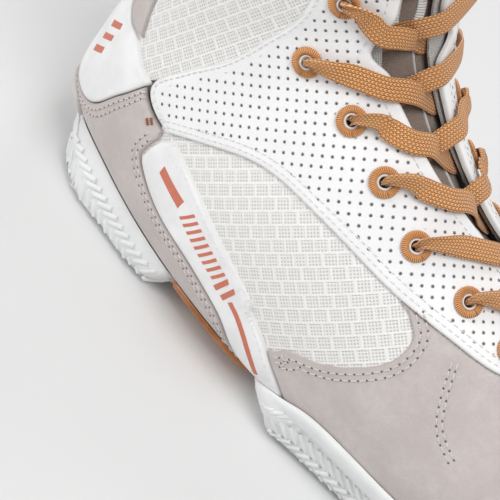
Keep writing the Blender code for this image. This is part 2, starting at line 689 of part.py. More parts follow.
def strand(row, side):
    """Control points of one crossing: from inside an eyelet, over the gap, to the next one across.

    Each point is u, distance in v from the throat's centre, distance from the form, width,
    thickness. The lateral and medial strands cross at different heights.
    """
    u0, v0 = eyelet_place(row, side)
    u1, v1 = eyelet_place(row + 1, -side)
    reach0 = abs(v0 - throat_centre(u0))
    reach1 = abs(v1 - throat_centre(u1))
    pitch = EYELETS[row + 1][0] - EYELETS[row][0]
    over = 0.8 if (side > 0) == (row != 3) else -0.8
    enter = u0 + (0.10 if side < 0 else 0.0) * pitch
    leave = u1 - (0.62 if side > 0 else 0.45) * pitch
    step = (leave - enter) / 4
    edge = HALF_GAP
    gathered = (LACE_GATHERED, LACE_THICKNESS)
    return [
        (u0, side * reach0, 3.2, *IN_EYELET),
        (u0, side * (reach0 - 0.003), 0.2, *IN_EYELET),
        (u0 + 0.02 * pitch, side * (reach0 - 0.016), -1.5, *UNDER_EYELET),
        ((u0 + enter) / 2, side * (reach0 + edge) / 2, -1.5, *gathered),
        (enter, side * (edge + 0.020), -1.4, *gathered),
        (enter + step, side * edge * 0.65, -0.4 + over / 3, *gathered),
        ((enter + leave) / 2, 0.0, 2.0 + over, *gathered),
        (leave - step, -side * edge * 0.60, 4.8 + over / 3, *gathered),
        (leave, -side * (edge + 0.018), 6.4, 5.0, LACE_THICKNESS),
        (leave + (u1 - leave) * 0.45, -side * (edge + (reach1 - edge) * 0.45), 6.6, LACE_WIDTH,
         LACE_THICKNESS),
        (u1 - 0.16 * pitch, -side * (reach1 - 0.044), 7.0, *gathered),
        (u1 - 0.01 * pitch, -side * (reach1 - 0.014), 7.0, *LEAVING_EYELET),
        (u1, -side * (reach1 - 0.003), 5.8, *IN_EYELET),
    ]


def lace_half(side):
    points = []
    for row in range(len(EYELETS) - 1):
        points += strand(row, side)
        side = -side
    u, v = eyelet_place(len(EYELETS) - 1, side)
    reach = abs(v - throat_centre(u))
    return points + [
        (u, side * reach, 3.2, *IN_EYELET),
        (u, side * (reach - 0.003), 0.2, *IN_EYELET),
        (u - 0.03, side * (reach - 0.016), -1.6, *UNDER_EYELET),
        (u - 0.3, side * (reach - 0.04), -1.6, LACE_GATHERED, LACE_THICKNESS),
        (u - 0.7, side * (reach - 0.04), -1.6, LACE_GATHERED, LACE_THICKNESS),
    ]


def lace_points():
    """The whole lace, from one tucked end down to the bar over the lowest pair and up again."""
    bar = []
    for side in (-1, 1):
        u, v = eyelet_place(0, side)
        reach = abs(v - throat_centre(u))
        run = [
            (u, side * (reach - 0.003), 5.8, *IN_EYELET),
            (u, side * (reach - 0.014), 6.9, *LEAVING_EYELET),
            (u, side * (reach - 0.045), 6.5, 4.6, LACE_THICKNESS),
            (u + 0.03 * side, side * 0.06, 6.0, 6.0, LACE_THICKNESS),
        ]
        bar += run[::-side]
    return lace_half(-1)[::-1] + bar + lace_half(1)


def build_lace():
    centres = []
    normals = []
    sizes = []
    for u, across, offset, width, thickness in lace_points():
        v = throat_centre(u) + across
        centres.append(skin(u, v, offset))
        normals.append(form_normal(u, v))
        sizes.append((width, thickness))
    mesh = bmesh.new()
    rows = []
    up = normals[0]
    for i, centre in enumerate(centres):
        ahead = centres[min(i + 1, len(centres) - 1)] - centres[max(i - 1, 0)]
        ahead /= np.linalg.norm(ahead)
        up = up - ahead * np.dot(up, ahead)
        up /= np.linalg.norm(up)
        flat = normals[i] - ahead * np.dot(normals[i], ahead)
        level = np.linalg.norm(flat)
        if level > LEVEL_ENOUGH:
            target = flat / level
            if np.dot(target, up) < 0:
                target = -target
            up = up + target * LEVEL_PULL
            up /= np.linalg.norm(up)
        sideways = np.cross(ahead, up)
        half = sizes[i][0] / 2
        thick = sizes[i][1] / 2
        profile = ((-half, thick), (half, thick), (half, -thick), (-half, -thick))
        rows.append([mesh.verts.new(centre + sideways * a + up * b) for a, b in profile])
    for one, two in zip(rows, rows[1:]):
        for i in range(4):
            j = (i + 1) % 4
            mesh.faces.new((one[i], one[j], two[j], two[i]))
    mesh.faces.new(list(reversed(rows[0])))
    mesh.faces.new(rows[-1])
    finish("lace", mesh, paint("flat lace", ORANGE, 0.85))


def build_pull_tab():
    webbing = paint("tab webbing", WHITE, 0.8)
    base = [(13.3, 1.10), (13.3, 0.90), (12.1, 0.90), (12.1, 1.10)]
    panel("pull_tab_base", base, TAB_BASE, paint("tab base webbing", WHITE, 0.8))

    foot = skin(TAB_U, 1.0, TAB_FOOT)
    half = TAB_WIDTH / 2
    radius = TAB_RADIUS
    path = [(-radius, 0.0), (-radius, TAB_HEIGHT * 0.5), (-radius, TAB_HEIGHT - radius)]
    for angle in (150, 120, 90, 60, 30):
        turn = math.radians(angle)
        path.append((radius * math.cos(turn), TAB_HEIGHT - radius + radius * math.sin(turn)))
    path += [(radius, TAB_HEIGHT - radius), (radius, TAB_HEIGHT * 0.5), (radius, 0.0)]
    mesh = bmesh.new()
    rows = []
    for i, (x, z) in enumerate(path):
        before = path[max(i - 1, 0)]
        after = path[min(i + 1, len(path) - 1)]
        run = np.array((after[0] - before[0], after[1] - before[1]))
        run /= np.linalg.norm(run)
        out = np.array((run[1], -run[0])) * TAB_THICKNESS / 2
        row = []
        for sign, y in ((1, -half), (1, half), (-1, half), (-1, -half)):
            place = (foot[0] - radius + x + sign * out[0], y, foot[2] + z + sign * out[1])
            row.append(mesh.verts.new(place))
        rows.append(row)
    for one, two in zip(rows, rows[1:]):
        for i in range(4):
            j = (i + 1) % 4
            mesh.faces.new((one[i], one[j], two[j], two[i]))
    mesh.faces.new(rows[0])
    mesh.faces.new(list(reversed(rows[-1])))
    finish("pull_tab", mesh, webbing, origin=(foot[0] - radius, 0, foot[2]))


def main():
    toe_pivot = bpy.data.objects.new("toe_flex_axis", None)
    toe_pivot.location = metres((TOE_HINGE[0] - HEEL_REST_X, TOE_HINGE[1], TOE_HINGE[2]))
    BOOT.objects.link(toe_pivot)
    build_sole(toe_pivot)
    build_inside(toe_pivot)
    build_mesh_panels()
    facings = build_overlays(toe_pivot)
    build_collar()
    build_tongue()
    build_keeper()
    build_eyelets(facings)
    build_lace()
    build_pull_tab()


clear_scene()
BOOT = new_collection("boxing_boot")
CUTTERS = new_collection("cutters")
main()
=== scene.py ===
"""Looks of the boxing boot: smooth sewn panels, stitching, braided lace, moulded rubber and studio.

The boot's upper is one foot-shaped form with two coordinates: u runs from the toe tip (0) over
the instep to the collar (14), and v runs round the section, 0 on the front or top, 1 at the back
or under the sole, lateral side negative. Lengths are in millimetres until a mesh is made.
"""

import math

import bmesh
import bpy
import numpy as np
from mathutils import Matrix, Vector
from mathutils.geometry import delaunay_2d_cdt


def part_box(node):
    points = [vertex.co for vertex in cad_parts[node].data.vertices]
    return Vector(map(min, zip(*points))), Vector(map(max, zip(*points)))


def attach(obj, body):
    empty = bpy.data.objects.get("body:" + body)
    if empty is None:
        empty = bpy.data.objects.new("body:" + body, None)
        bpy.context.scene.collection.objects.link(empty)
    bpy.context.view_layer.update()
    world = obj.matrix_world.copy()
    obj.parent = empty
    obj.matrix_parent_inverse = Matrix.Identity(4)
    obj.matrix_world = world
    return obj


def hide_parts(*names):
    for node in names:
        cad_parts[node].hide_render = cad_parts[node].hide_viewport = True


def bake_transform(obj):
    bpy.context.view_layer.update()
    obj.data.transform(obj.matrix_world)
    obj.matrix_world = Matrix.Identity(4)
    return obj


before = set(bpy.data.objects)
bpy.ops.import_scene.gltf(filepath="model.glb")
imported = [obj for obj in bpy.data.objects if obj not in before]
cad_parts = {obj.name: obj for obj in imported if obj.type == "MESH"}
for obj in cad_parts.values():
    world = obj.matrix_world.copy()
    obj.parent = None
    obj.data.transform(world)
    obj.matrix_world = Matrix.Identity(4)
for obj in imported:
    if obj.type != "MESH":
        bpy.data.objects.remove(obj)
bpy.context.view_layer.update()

MM = 0.001
HEEL_REST_X = 45.0
GRID = 1.7  # spacing of a panel's mesh

# Sections of the form, toe tip first: bottom or back point (x, z), top or front point (x, z),
# lateral y, medial y, height share of the widest place, corner exponents.
STATIONS = np.array((
    (271.5, 25, 271.5, 25, 4.4, 4.6, 0.50, 2.0, 2.0),
    (263, 18, 266, 41, -16, 25, 0.42, 2.6, 2.2),
    (246, 14, 250, 53, -32, 38, 0.38, 3.2, 2.3),
    (221, 12, 224, 60, -43, 46, 0.34, 3.6, 2.2),
    (190, 12, 198, 67, -47, 46, 0.32, 3.8, 2.0),
    (158, 11.5, 173, 78, -48, 38, 0.32, 4.2, 2.0),
    (122, 9.5, 150, 90, -49, 32, 0.34, 4.4, 2.0),
    (80, 10.5, 131, 103, -47, 31, 0.36, 4.2, 2.0),
    (36, 12, 117, 114, -41, 32, 0.40, 3.2, 2.0),
    (3, 20, 108, 125, -36, 32, 0.44, 2.5, 2.1),
    (0, 44, 103, 136, -33, 32, 0.48, 2.1, 2.1),
    (6, 73, 99, 146, -33, 33, 0.50, 2.0, 2.1),
    (11, 100, 96, 156, -34, 33, 0.50, 2.0, 2.1),
    (12, 127, 94, 167, -35, 34, 0.50, 2.1, 2.1),
    (10, 152, 92, 178, -36, 35, 0.50, 2.2, 2.1),
    (7, 175, 91, 198, -36, 35, 0.50, 2.2, 2.1),
), float)

# Layers, as distances outwards from the form.
LINING = (0.0, 0.9)
MIDDLE = (1.3, 2.3)
OVERLAY = (2.3, 3.9)
RUBBER_SIDE = 4.3
RUBBER_FLOOR = 8.0
SIDE_WALL = 7.0
TREAD_REACH = 16.0
THIN_END = 5.5  # outer face of the rubber where it runs out towards the arch
HEEL_BACK = 7.5  # and where it ends behind the heel
TONGUE = (-7.0, -3.2)
ARCH_PLATE = (4.2, 6.0)
FOAM = (4.5, 7.4)
INSOLE_BOARD = (-1.6, -0.4)
FOOT_BED = (-5.0, -1.8)

TOE_SPRING_START = 221.0
TOE_SPRING = 10.0
TOE_SPRING_LENGTH = 50.0
TREAD_DEPTH = 1.3

EYELETS = ((4.42, -0.095), (5.17, -0.117), (6.07, -0.155), (6.99, -0.168), (8.06, -0.203),
           (9.45, -0.289), (11.07, -0.273), (13.05, -0.262))
MEDIAL_EYELET_SHIFT = 0.2
THROAT_END = 4.02
HALF_GAP = 0.05
COLLAR_EDGE = 13.5
RING_RADIUS = 3.75
RING_THICKNESS = 1.35
GROMMET_RADIUS = 2.4
GROMMET_THICKNESS = 0.65
HOLE_RADIUS = 2.1

# Where the forefoot bends when the toe flexes, and where the tongue's free top folds.
TOE_BEND = ((0.146, 0, 0.03), (0.196, 0, 0.03))

# Edges of the panels on the lateral side.
HEEL_RIM = ((6.90, 1.20), (7.0, 1.262), (7.3, 1.264), (7.76, 1.246), (8.2, 1.232), (8.48, 1.215),
            (8.68, 1.14), (8.78, 1.0))
BALL_RIM = ((5.80, 1.25), (5.70, 1.33), (5.45, 1.39), (5.15, 1.44), (4.6, 1.46), (3.9, 1.465),
            (2.9, 1.46), (2.26, 1.455))
TOE_RIM = ((2.23, 1.455), (1.6, 1.45), (1.0, 1.45), (0.4, 1.47), (0.02, 1.5))
STRAP_BACK = ((8.30, -0.510), (8.20, -0.540), (8.10, -0.559), (7.76, -0.567), (7.44, -0.566),
              (6.98, -0.553), (6.58, -0.562), (6.34, -0.588), (6.11, -0.660), (5.90, -0.740),
              (5.78, -0.880))
STRAP_FRONT = ((5.10, -0.880), (5.22, -0.760), (5.37, -0.665), (5.59, -0.571), (5.93, -0.514),
               (6.40, -0.499), (6.90, -0.489), (7.64, -0.487), (8.26, -0.498))
FACING_LOWER = ((8.38, -0.502), (8.21, -0.456), (7.93, -0.394), (7.63, -0.354), (7.19, -0.319),
                (6.42, -0.273), (5.62, -0.235), (4.92, -0.195), (4.25, -0.144), (3.85, -0.06),
                (3.72, 0.075))
FACING_UPPER = ((13.5, -0.34), (12.0, -0.34), (10.74, -0.348), (10.07, -0.386), (9.60, -0.423),
                (9.40, -0.477), (9.13, -0.522), (8.38, -0.502))
WINDOW_FRONT = ((5.88, -0.508), (5.42, -0.437), (5.10, -0.335), (5.14, -0.262), (5.42, -0.236))
HEEL_TOP = ((9.10, 1.470), (8.95, 1.410), (8.84, 1.300), (9.25, 1.150), (9.50, 1.0))
BACKSTAY_SIDE = ((13.5, 1.130), (12.0, 1.150), (10.9, 1.190), (10.3, 1.290), (9.95, 1.364),
                 (9.16, 1.470))
EDGE_GAP = 0.004
CAP_SEAM = 2.36  # where the toe cap lies over the vamp


# ---------------------------------------------------------------- the form

def sections(u):
    last = len(STATIONS) - 1
    u = np.clip(u, 0.0, last - 1e-9)
    i = u.astype(int)
    f = (u - i)[:, None]
    here = STATIONS[i]
    after = STATIONS[i + 1]
    before = np.where((i > 0)[:, None], STATIONS[np.maximum(i - 1, 0)], 2 * here - after)
    beyond = np.where((i + 2 <= last)[:, None], STATIONS[np.minimum(i + 2, last)], 2 * after - here)
    bend = 2 * before - 5 * here + 4 * after - beyond
    jerk = 3 * here - before - 3 * after + beyond
    return 0.5 * (2 * here + (after - before) * f + bend * f ** 2 + jerk * f ** 3)


def form(u, v):
    """Points of the form for arrays of u and v, in millimetres."""
    bx, bz, tx, tz, lateral, medial, share, low_power, high_power = sections(u).T
    v = (v + 1) % 2 - 1
    cosine = np.cos(np.abs(v) * math.pi)
    upper = cosine >= 0
    power = 2 / np.where(upper, high_power, low_power)
    reach = np.abs(cosine) ** power
    height = np.where(upper, share + (1 - share) * reach, share * (1 - reach))
    side = np.sign(v) * np.abs(np.sin(v * math.pi)) ** power
    y = (lateral + medial) / 2 + side * (medial - lateral) / 2
    return np.stack((bx + (tx - bx) * height - HEEL_REST_X, y, bz + (tz - bz) * height), axis=1)


def outward(u, v):
    """The form's outward directions."""
    step = 0.004
    u = np.maximum(u, step)
    normal = np.cross(form(u + step, v) - form(u - step, v), form(u, v + step) - form(u, v - step))
    normal /= np.linalg.norm(normal, axis=1, keepdims=True) + 1e-12
    middle = (form(u, v * 0) + form(u, v * 0 + 1)) / 2
    facing = np.sum((form(u, v) - middle) * normal, axis=1)
    return normal * np.where(facing < 0, -1.0, 1.0)[:, None]


def skin(u, v, offset=0.0):
    """Points at a distance outwards from the form."""
    u = np.atleast_1d(np.asarray(u, float))
    v = np.atleast_1d(np.asarray(v, float)) + u * 0
    return form(u, v) + outward(u, v) * np.reshape(offset, (-1, 1))


def ground_height(x):
    ahead = np.maximum(0.0, x + HEEL_REST_X - TOE_SPRING_START) / TOE_SPRING_LENGTH
    return TOE_SPRING * ahead ** 1.6


def throat_centre(u):
    """v of the line half way between the two facings."""
    places = (4.0, 5.4, 6.1, 6.7, 7.4, 8.3, 9.0, 10.0, 14.0)
    values = (0.075, 0.07, 0.04, 0.0, -0.03, -0.065, -0.085, -0.105, -0.10)
    return np.interp(u, places, values)


def to_medial(points):
    """An outline of the lateral side carried over to the medial side."""
    points = np.asarray(points, float)
    u, v = points.T
    centre = throat_centre(u)
    weight = np.maximum(0.0, 1 - np.abs(v - centre) / 0.4)
    return np.stack((u, -v + 2 * centre * weight), axis=1)[::-1]


def mirrored(points):
    """The same line on the other side of v = 1."""
    points = np.asarray(points, float)
    return np.stack((points[:, 0], 2 - points[:, 1]), axis=1)[::-1]


def moved(points, du=0.0, dv=0.0):
    return np.asarray(points, float) + (du, dv)


def curve(points, steps=10):
    """A smooth line through the points, ends included."""
    points = np.asarray(points, float)
    last = len(points) - 1
    t = np.linspace(0, last - 1e-9, last * steps + 1)
    i = t.astype(int)
    f = (t - i)[:, None]
    padded = np.vstack((2 * points[0] - points[1], points, 2 * points[-1] - points[-2]))
    p0, p1, p2, p3 = (padded[i + k] for k in range(4))
    bend = 2 * p0 - 5 * p1 + 4 * p2 - p3
    jerk = 3 * p1 - p0 - 3 * p2 + p3
    return 0.5 * (2 * p1 + (p2 - p0) * f + bend * f ** 2 + jerk * f ** 3)


def join(*runs):
    """One outline from runs that follow each other; each run keeps its own corners."""
    points = np.vstack([np.asarray(run, float) for run in runs])
    step = np.abs(np.diff(points, axis=0, append=points[:1])).sum(axis=1)
    return points[step > 1e-5]


def spaced(points, gap, closed=True):
    """Points along a line in (u, v), never more than gap apart on the form, corners kept."""
    ends = np.vstack((points, points[:1])) if closed else np.asarray(points, float)
    out = []
    for a, b in zip(ends[:-1], ends[1:]):
        length = float(np.linalg.norm(skin(*b) - skin(*a)))
        count = max(1, math.ceil(length / gap))
        out += [a + (b - a) * k / count for k in range(count)]
    if not closed:
        out.append(ends[-1])
    return np.array(out)


def thinned(points, gap):
    """The line without the points that crowd closer than gap, apart from its corners."""
    place = skin(points[:, 0], points[:, 1])
    kept = [0]
    for i in range(1, len(points)):
        one = place[i] - place[i - 1]
        two = place[(i + 1) % len(points)] - place[i]
        turn = np.dot(one, two) / (np.linalg.norm(one) * np.linalg.norm(two) + 1e-12)
        if np.linalg.norm(place[i] - place[kept[-1]]) >= gap or turn < 0.9:
            kept.append(i)
    return points[kept]


# ---------------------------------------------------------------- flat chart for meshing

CHART_U = np.linspace(0, 15, 301)
CHART_SIDES = np.array((-0.75, -0.5, -0.25, 0.0, 0.25, 0.5, 0.75, 1.0))
CHART_ROWS = np.array([skin(CHART_U, side) for side in CHART_SIDES])
CHART_LENGTH = np.concatenate(([0], np.cumsum(
    np.linalg.norm(np.diff(CHART_ROWS, axis=1), axis=2).mean(axis=0))))
CHART_WIDTH = 120.0  # millimetres for one unit of v


def to_chart(points):
    points = np.asarray(points, float)
    along = np.interp(points[:, 0], CHART_U, CHART_LENGTH)
    return np.stack((along, points[:, 1] * CHART_WIDTH), axis=1)


def from_chart(flat):
    u = np.interp(flat[:, 0], CHART_LENGTH, CHART_U)
    return np.stack((u, flat[:, 1] / CHART_WIDTH), axis=1)


def chart_scale(flat):
    """How many millimetres on the form one unit of each chart direction is."""
    step = 0.05
    base = from_chart(flat)
    one = from_chart(flat + (step, 0))
    two = from_chart(flat + (0, step))
    here = skin(base[:, 0], base[:, 1])
    along = np.linalg.norm(skin(one[:, 0], one[:, 1]) - here, axis=1) / step
    across = np.linalg.norm(skin(two[:, 0], two[:, 1]) - here, axis=1) / step
    return np.maximum(along, 0.05), np.maximum(across, 0.05)


def inset(points, distance, closed=True):
    """A line in (u, v) moved to its left by a distance on the form."""
    flat = to_chart(points)
    along, across = chart_scale(flat)
    if closed:
        run = np.roll(flat, -1, axis=0) - np.roll(flat, 1, axis=0)
    else:
        run = np.gradient(flat, axis=0)
    run = run * np.stack((along, across), axis=1)
    run /= np.linalg.norm(run, axis=1, keepdims=True) + 1e-12
    left = np.stack((-run[:, 1] / along, run[:, 0] / across), axis=1)
    return from_chart(flat + left * np.reshape(distance, (-1, 1)))


def turns_left(flat):
    following = np.roll(flat, -1, axis=0)
    return np.sum(flat[:, 0] * following[:, 1] - following[:, 0] * flat[:, 1]) > 0


def inside(flat, loop):
    """Which points lie inside a closed loop."""
    x, y = flat[:, 0][:, None], flat[:, 1][:, None]
    x0, y0 = loop[:, 0][None], loop[:, 1][None]
    following = np.roll(loop, -1, axis=0)
    x1, y1 = following[:, 0][None], following[:, 1][None]
    crosses = (y0 > y) != (y1 > y)
    at = x0 + (y - y0) * (x1 - x0) / np.where(y1 == y0, 1e-12, y1 - y0)
    return (crosses & (x < at)).sum(axis=1) % 2 == 1


def nearest(points, others):
    """Distance from each point to the nearest of the others."""
    out = np.empty(len(points))
    for start in range(0, len(points), 2000):
        block = points[start:start + 2000]
        gaps = np.linalg.norm(block[:, None] - others[None], axis=2)
        out[start:start + 2000] = gaps.min(axis=1)
    return out


def mesh_over(outline, holes, grid, rings):
    """Triangles in (u, v) inside an outline, with rings of points along its edge."""
    edge = spaced(thinned(outline, grid * 0.5), grid * 0.8)
    if not turns_left(to_chart(edge)):
        edge = edge[::-1]
    loop = to_chart(edge)
    hole_loops = [to_chart(hole) for hole in holes]
    edge_place = skin(edge[:, 0], edge[:, 1])
    wall_place = np.vstack([edge_place] + [skin(h[:, 0], h[:, 1]) for h in holes])

    extra = []
    for ring in rings:
        points = inset(edge, ring)
        near = nearest(skin(points[:, 0], points[:, 1]), wall_place)
        extra.append(to_chart(points[near > ring * 0.85]))
    low, high = loop.min(axis=0), loop.max(axis=0)
    rows = np.arange(low[1], high[1], grid * 0.87)
    columns = np.arange(low[0], high[0], grid)
    x, y = np.meshgrid(columns, rows)
    x = x + (np.arange(len(rows)) % 2)[:, None] * grid / 2
    flat = np.stack((x.ravel(), y.ravel()), axis=1)
    flat = flat[inside(flat, loop)]
    for hole in hole_loops:
        flat = flat[~inside(flat, hole)]
    if len(flat):
        points = from_chart(flat)
        near = nearest(skin(points[:, 0], points[:, 1]), wall_place)
        flat = flat[near > max((rings[-1] if rings else 0) + grid * 0.35, grid * 0.5)]
    fixed = [loop] + hole_loops
    everything = np.vstack(fixed + extra + [flat])
    edges = []
    start = 0
    for one in fixed:
        edges += [(start + k, start + (k + 1) % len(one)) for k in range(len(one))]
        start += len(one)
    spots = [Vector(p) for p in everything]
    inside_only = 1
    made = delaunay_2d_cdt(spots, edges, [list(range(len(loop)))], inside_only, 1e-6, False)
    verts = np.array([tuple(p) for p in made[0]])
    faces = np.array(made[2], int)
    centres = verts[faces].mean(axis=1)
    keep = inside(centres, loop)
    for hole in hole_loops:
        keep &= ~inside(centres, hole)
    faces = faces[keep]
    used = np.unique(faces)
    number = np.full(len(verts), -1)
    number[used] = np.arange(len(used))
    faces = number[faces]
    a, b, c = (verts[used][faces[:, k]] for k in range(3))
    area = (b[:, 0] - a[:, 0]) * (c[:, 1] - a[:, 1]) - (b[:, 1] - a[:, 1]) * (c[:, 0] - a[:, 0])
    faces[area < 0] = faces[area < 0][:, ::-1]
    uv = from_chart(verts[used])
    place = skin(uv[:, 0], uv[:, 1])
    return uv, faces, nearest(place, wall_place)


def open_edges(faces):
    """Directed edges that belong to one face only."""
    ends = np.concatenate((faces[:, [0, 1]], faces[:, [1, 2]], faces[:, [2, 0]]))
    _, index, count = np.unique(np.sort(ends, axis=1), axis=0, return_inverse=True, return_counts=True)
    return ends[count[index.reshape(-1)] == 1]


# ---------------------------------------------------------------- making objects

def new_object(name, points, faces, material, layer=None, edge=None, sharp=50):
    """An object from points in millimetres; layer is a pattern coordinate for each point."""
    mesh = bpy.data.meshes.new(name)
    corners_of = [tuple(int(i) for i in face) for face in faces]
    mesh.from_pydata([tuple(p) for p in np.asarray(points) * MM], [], corners_of)
    mesh.materials.append(material)
    if layer is not None:
        corners = np.zeros(len(mesh.loops), np.int32)
        mesh.loops.foreach_get("vertex_index", corners)
        mesh.uv_layers.new(name="pattern").data.foreach_set(
            "uv", np.asarray(layer, np.float32)[corners].ravel())
    if edge is not None:
        mesh.attributes.new("edge_mm", "FLOAT", "POINT").data.foreach_set(
            "value", np.asarray(edge, np.float32))
    item = bpy.data.objects.new(name, mesh)
    bpy.context.scene.collection.objects.link(item)
    work = bmesh.new()
    work.from_mesh(mesh)
    bmesh.ops.recalc_face_normals(work, faces=work.faces)
    work.to_mesh(mesh)
    work.free()
    mesh.shade_smooth()
    mesh.set_sharp_from_angle(angle=math.radians(sharp))
    return item


def tube_faces(first, rows, size, closed=False):
    """Faces of a tube whose points follow in rows, its ends capped unless it closes on itself."""
    faces = []
    for row in range(rows if closed else rows - 1):
        here, after = first + row * size, first + (row + 1) % rows * size
        for k in range(size):
            m = (k + 1) % size
            faces.append((here + k, here + m, after + m, after + k))
    if not closed:
        faces.append(tuple(first + k for k in reversed(range(size))))
        faces.append(tuple(first + (rows - 1) * size + k for k in range(size)))
    return faces


def flattened(points, faces, towards):
    """Pattern coordinates in millimetres for a surface, turned so that +x runs towards a direction."""
    mesh = bpy.data.meshes.new("chart")
    mesh.from_pydata([tuple(p) for p in points], [], [tuple(int(i) for i in f) for f in faces])
    item = bpy.data.objects.new("chart", mesh)
    bpy.context.scene.collection.objects.link(item)
    bpy.context.view_layer.objects.active = item
    item.select_set(True)
    bpy.ops.object.mode_set(mode="EDIT")
    bpy.ops.mesh.select_all(action="SELECT")
    bpy.ops.uv.unwrap(method="ANGLE_BASED", margin=0.0)
    bpy.ops.object.mode_set(mode="OBJECT")
    corners = np.zeros(len(mesh.loops), np.int32)
    mesh.loops.foreach_get("vertex_index", corners)
    values = np.zeros(len(mesh.loops) * 2, np.float32)
    mesh.uv_layers.active.data.foreach_get("uv", values)
    layer = np.zeros((len(points), 2))
    layer[corners] = values.reshape(-1, 2)
    bpy.data.objects.remove(item, do_unlink=True)
    bpy.data.meshes.remove(mesh)
    a, b, c = (points[faces[:, k]] for k in range(3))
    p, q, r = (layer[faces[:, k]] for k in range(3))
    solid = np.linalg.norm(np.cross(b - a, c - a), axis=1)
    one, two = q - p, r - p
    flat = one[:, 0] * two[:, 1] - one[:, 1] * two[:, 0]
    layer = layer * math.sqrt(solid.sum() / max(np.abs(flat).sum(), 1e-12))
    if flat.sum() < 0:
        layer[:, 0] *= -1
    p, q, r = (layer[faces[:, k]] for k in range(3))
    one, two = q - p, r - p
    first, second = (b - a) @ towards, (c - a) @ towards
    flat = np.where(np.abs(one[:, 0] * two[:, 1] - one[:, 1] * two[:, 0]) < 1e-9, 1e-9,
                    one[:, 0] * two[:, 1] - one[:, 1] * two[:, 0])
    slope_x = (first * two[:, 1] - second * one[:, 1]) / flat
    slope_y = (second * one[:, 0] - first * two[:, 0]) / flat
    weight = solid / solid.sum()
    angle = math.atan2(float((slope_y * weight).sum()), float((slope_x * weight).sum()))
    turn = np.array(((math.cos(angle), -math.sin(angle)), (math.sin(angle), math.cos(angle))))
    return layer @ turn


def settle(item, body, nodes=()):
    """Put a finished piece on its body, hiding the parts it replaces; a piece on the tongue, or one on
    the boot reaching past the forefoot's bend, is left unattached.
    """
    if nodes:
        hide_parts(*nodes)
    reach = max(v.co.x for v in item.data.vertices)
    if body == "tongue":
        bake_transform(item)
    elif body == "boot" and reach > TOE_BEND[0][0]:
        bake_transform(item)
    else:
        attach(item, body)


def panel(name, outline, inner, outer, material, slot, body="boot", nodes=(), holes=(),
          grid=GRID, edge_round=0.4, crown=0.0, towards=(1, 0, 0), floor=None):
    """A sewn or moulded panel: a closed shell over the form between two distances from it.

    A distance is a number or a function of (u, v, distance to the edge). Crown swells the outside
    away from the edge.
    """
    rings = (edge_round * 0.45, edge_round * 1.3) if edge_round else ()
    uv, faces, edge = mesh_over(outline, holes, grid, rings)
    u, v = uv.T
    low = inner(u, v, edge) if callable(inner) else np.full(len(u), float(inner))
    high = outer(u, v, edge) if callable(outer) else np.full(len(u), float(outer))
    if edge_round:
        fall = np.clip(1 - edge / (edge_round * 1.3), 0, 1)
        high = high - edge_round * fall ** 2
    if crown:
        high = high + crown * (1 - np.exp(-edge / 5.0))
    base = form(u, v)
    out = outward(u, v)
    top = base + out * high[:, None]
    under = base + out * low[:, None]
    if floor is not None:
        top[:, 2] = np.maximum(top[:, 2], floor(top[:, 0]))
        under[:, 2] = np.maximum(under[:, 2], floor(under[:, 0]) + 0.2)
    layer = flattened(top, faces, np.asarray(towards, float))
    count = len(u)
    rim = open_edges(faces)
    walls = np.stack((rim[:, 1], rim[:, 0], rim[:, 0] + count, rim[:, 1] + count), axis=1)
    every = list(faces) + list(faces[:, ::-1] + count) + list(walls)
    item = new_object(name, np.vstack((top, under)), every, material, np.vstack((layer, layer)),
                      np.concatenate((edge, edge)))
    settle(item, body, nodes)
    return item


# ---------------------------------------------------------------- materials

def srgb(red, green, blue):
    """A colour given as 0 to 255 on screen, made linear."""
    def linear(value):
        value /= 255
        return value / 12.92 if value <= 0.04045 else ((value + 0.055) / 1.055) ** 2.4
    return (linear(red), linear(green), linear(blue), 1.0)


